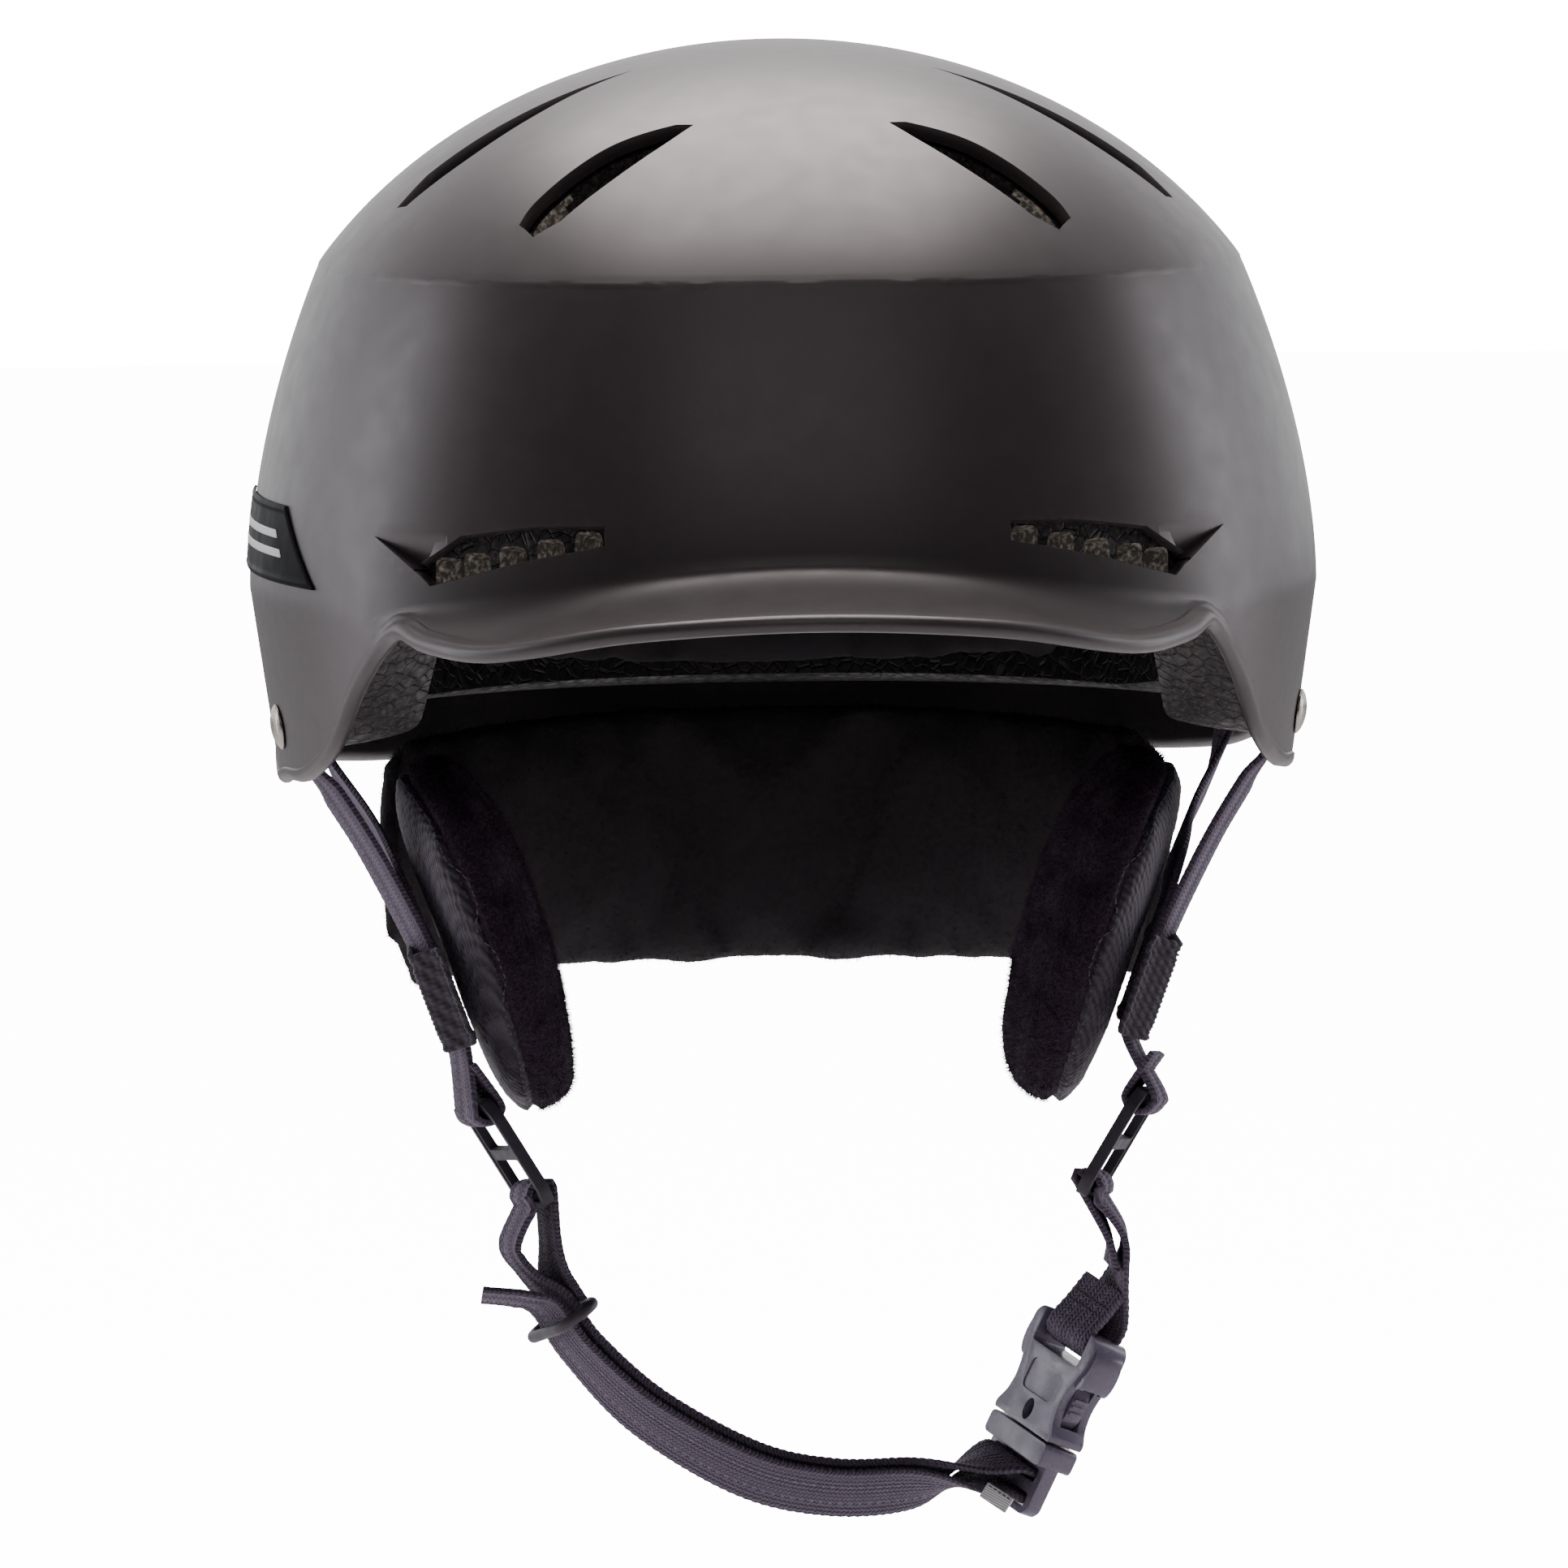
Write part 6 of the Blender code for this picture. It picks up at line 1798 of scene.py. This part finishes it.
def studio_world():
    """White to the camera; to everything else bright behind and above, dim in front."""
    world = bpy.data.worlds.new("studio")
    bpy.context.scene.world = world
    world.use_nodes = True
    tree = world.node_tree
    tree.nodes.clear()

    def add(kind, **settings):
        made = tree.nodes.new("ShaderNode" + kind)
        for key, value in settings.items():
            setattr(made, key, value)
        return made

    split = add("SeparateXYZ")
    tree.links.new(add("TexCoord").outputs["Generated"], split.inputs[0])
    height = add("MapRange")
    height.interpolation_type = "SMOOTHSTEP"
    tree.links.new(split.outputs[2], height.inputs[0])
    for index, value in ((1, 0.15), (2, 0.7), (3, 1.0), (4, 0.36)):
        height.inputs[index].default_value = value
    depth = add("MapRange")
    depth.interpolation_type = "SMOOTHSTEP"
    tree.links.new(split.outputs[1], depth.inputs[0])
    for index, value in ((1, -0.25), (2, 0.9), (3, 0.02), (4, 1.7)):
        depth.inputs[index].default_value = value
    lit = add("Background")
    strength = add("Math", operation="MULTIPLY")
    tree.links.new(depth.outputs[0], strength.inputs[0])
    tree.links.new(height.outputs[0], strength.inputs[1])
    tree.links.new(strength.outputs[0], lit.inputs[1])
    lit.inputs[0].default_value = (0.97, 0.98, 1.0, 1)
    seen = add("Background")
    seen.inputs[0].default_value = (1, 1, 1, 1)
    seen.inputs[1].default_value = 16.0
    mix = add("MixShader")
    tree.links.new(add("LightPath").outputs["Is Camera Ray"], mix.inputs[0])
    tree.links.new(lit.outputs[0], mix.inputs[1])
    tree.links.new(seen.outputs[0], mix.inputs[2])
    tree.links.new(mix.outputs[0], add("OutputWorld").inputs[0])


def floor():
    """Plain pale floor, well below the hanging chin strap."""
    bm = bmesh.new()
    bmesh.ops.create_circle(bm, cap_ends=True, segments=96, radius=7.0)
    mesh = bpy.data.meshes.new("floor")
    bm.to_mesh(mesh)
    bm.free()
    f = Finish("floor_white", (0.86, 0.86, 0.87), 0.9)
    f.put("Base Color", f.tint(f.noise(3, 3), (0.85, 0.85, 0.86), (0.87, 0.87, 0.88)))
    f.put("Emission Color", (1, 1, 1, 1))
    camera_ray = f.add("LightPath", output=0)
    f.put("Emission Strength", f.math("MULTIPLY", camera_ray, 14.0))
    mesh.materials.append(f.material)
    obj = bpy.data.objects.new("floor", mesh)
    obj.location.z = CAD_BOX[0].z - FLOOR_DROP
    bpy.context.scene.collection.objects.link(obj)


FLOOR_DROP = 0.20
CAMERA_TARGET = Vector((0, 0, -2.6 - DATUM_Z)) * MM
CAMERA_DISTANCE = 1.8
CAMERA_AZIMUTH, CAMERA_ELEVATION, CAMERA_ROLL = -2.5, 6.3, -0.65
CAMERA_LENS = 202.6


def camera():
    """Long lens, a little above the brim and turned to the wearer's right."""
    data = bpy.data.cameras.new("camera")
    data.lens = CAMERA_LENS
    data.sensor_width = 36.0
    obj = bpy.data.objects.new("camera", data)
    bpy.context.scene.collection.objects.link(obj)
    bpy.context.scene.camera = obj
    turn, rise = math.radians(CAMERA_AZIMUTH), math.radians(CAMERA_ELEVATION)
    back = Vector((math.sin(turn) * math.cos(rise), -math.cos(turn) * math.cos(rise), math.sin(rise)))
    obj.location = CAMERA_TARGET + back * CAMERA_DISTANCE
    aim = (-back).to_track_quat("-Z", "Y").to_matrix()
    roll = Matrix.Rotation(math.radians(CAMERA_ROLL), 3, "Z")
    obj.rotation_euler = (aim @ roll).to_euler()


def lights():
    """Overhead softbox, two strips beside the helmet and a weak fill from the front."""
    middle = CAMERA_TARGET
    lamp("overhead", 35.0, 0.95, (0.0, 0.50, 1.20), middle, (1.0, 0.945, 0.92), 1.3)
    lamp("front", 2.6, 1.2, (0.0, -1.35, 0.75), middle, (1.0, 0.94, 0.96), 0.8)
    lamp("strip_right", 4.5, 0.3, (-1.15, 0.30, 0.0), middle, (0.95, 0.94, 1.0), 1.1)
    lamp("strip_left", 4.5, 0.3, (1.15, 0.30, 0.0), middle, (0.97, 0.95, 1.0), 1.1)
    lamp("fill", 10.0, 0.9, (-0.3, -1.4, -0.75), (0, 0, -0.2), (1.0, 0.90, 1.0), 0.6)


floor()
studio_world()
lights()
camera()
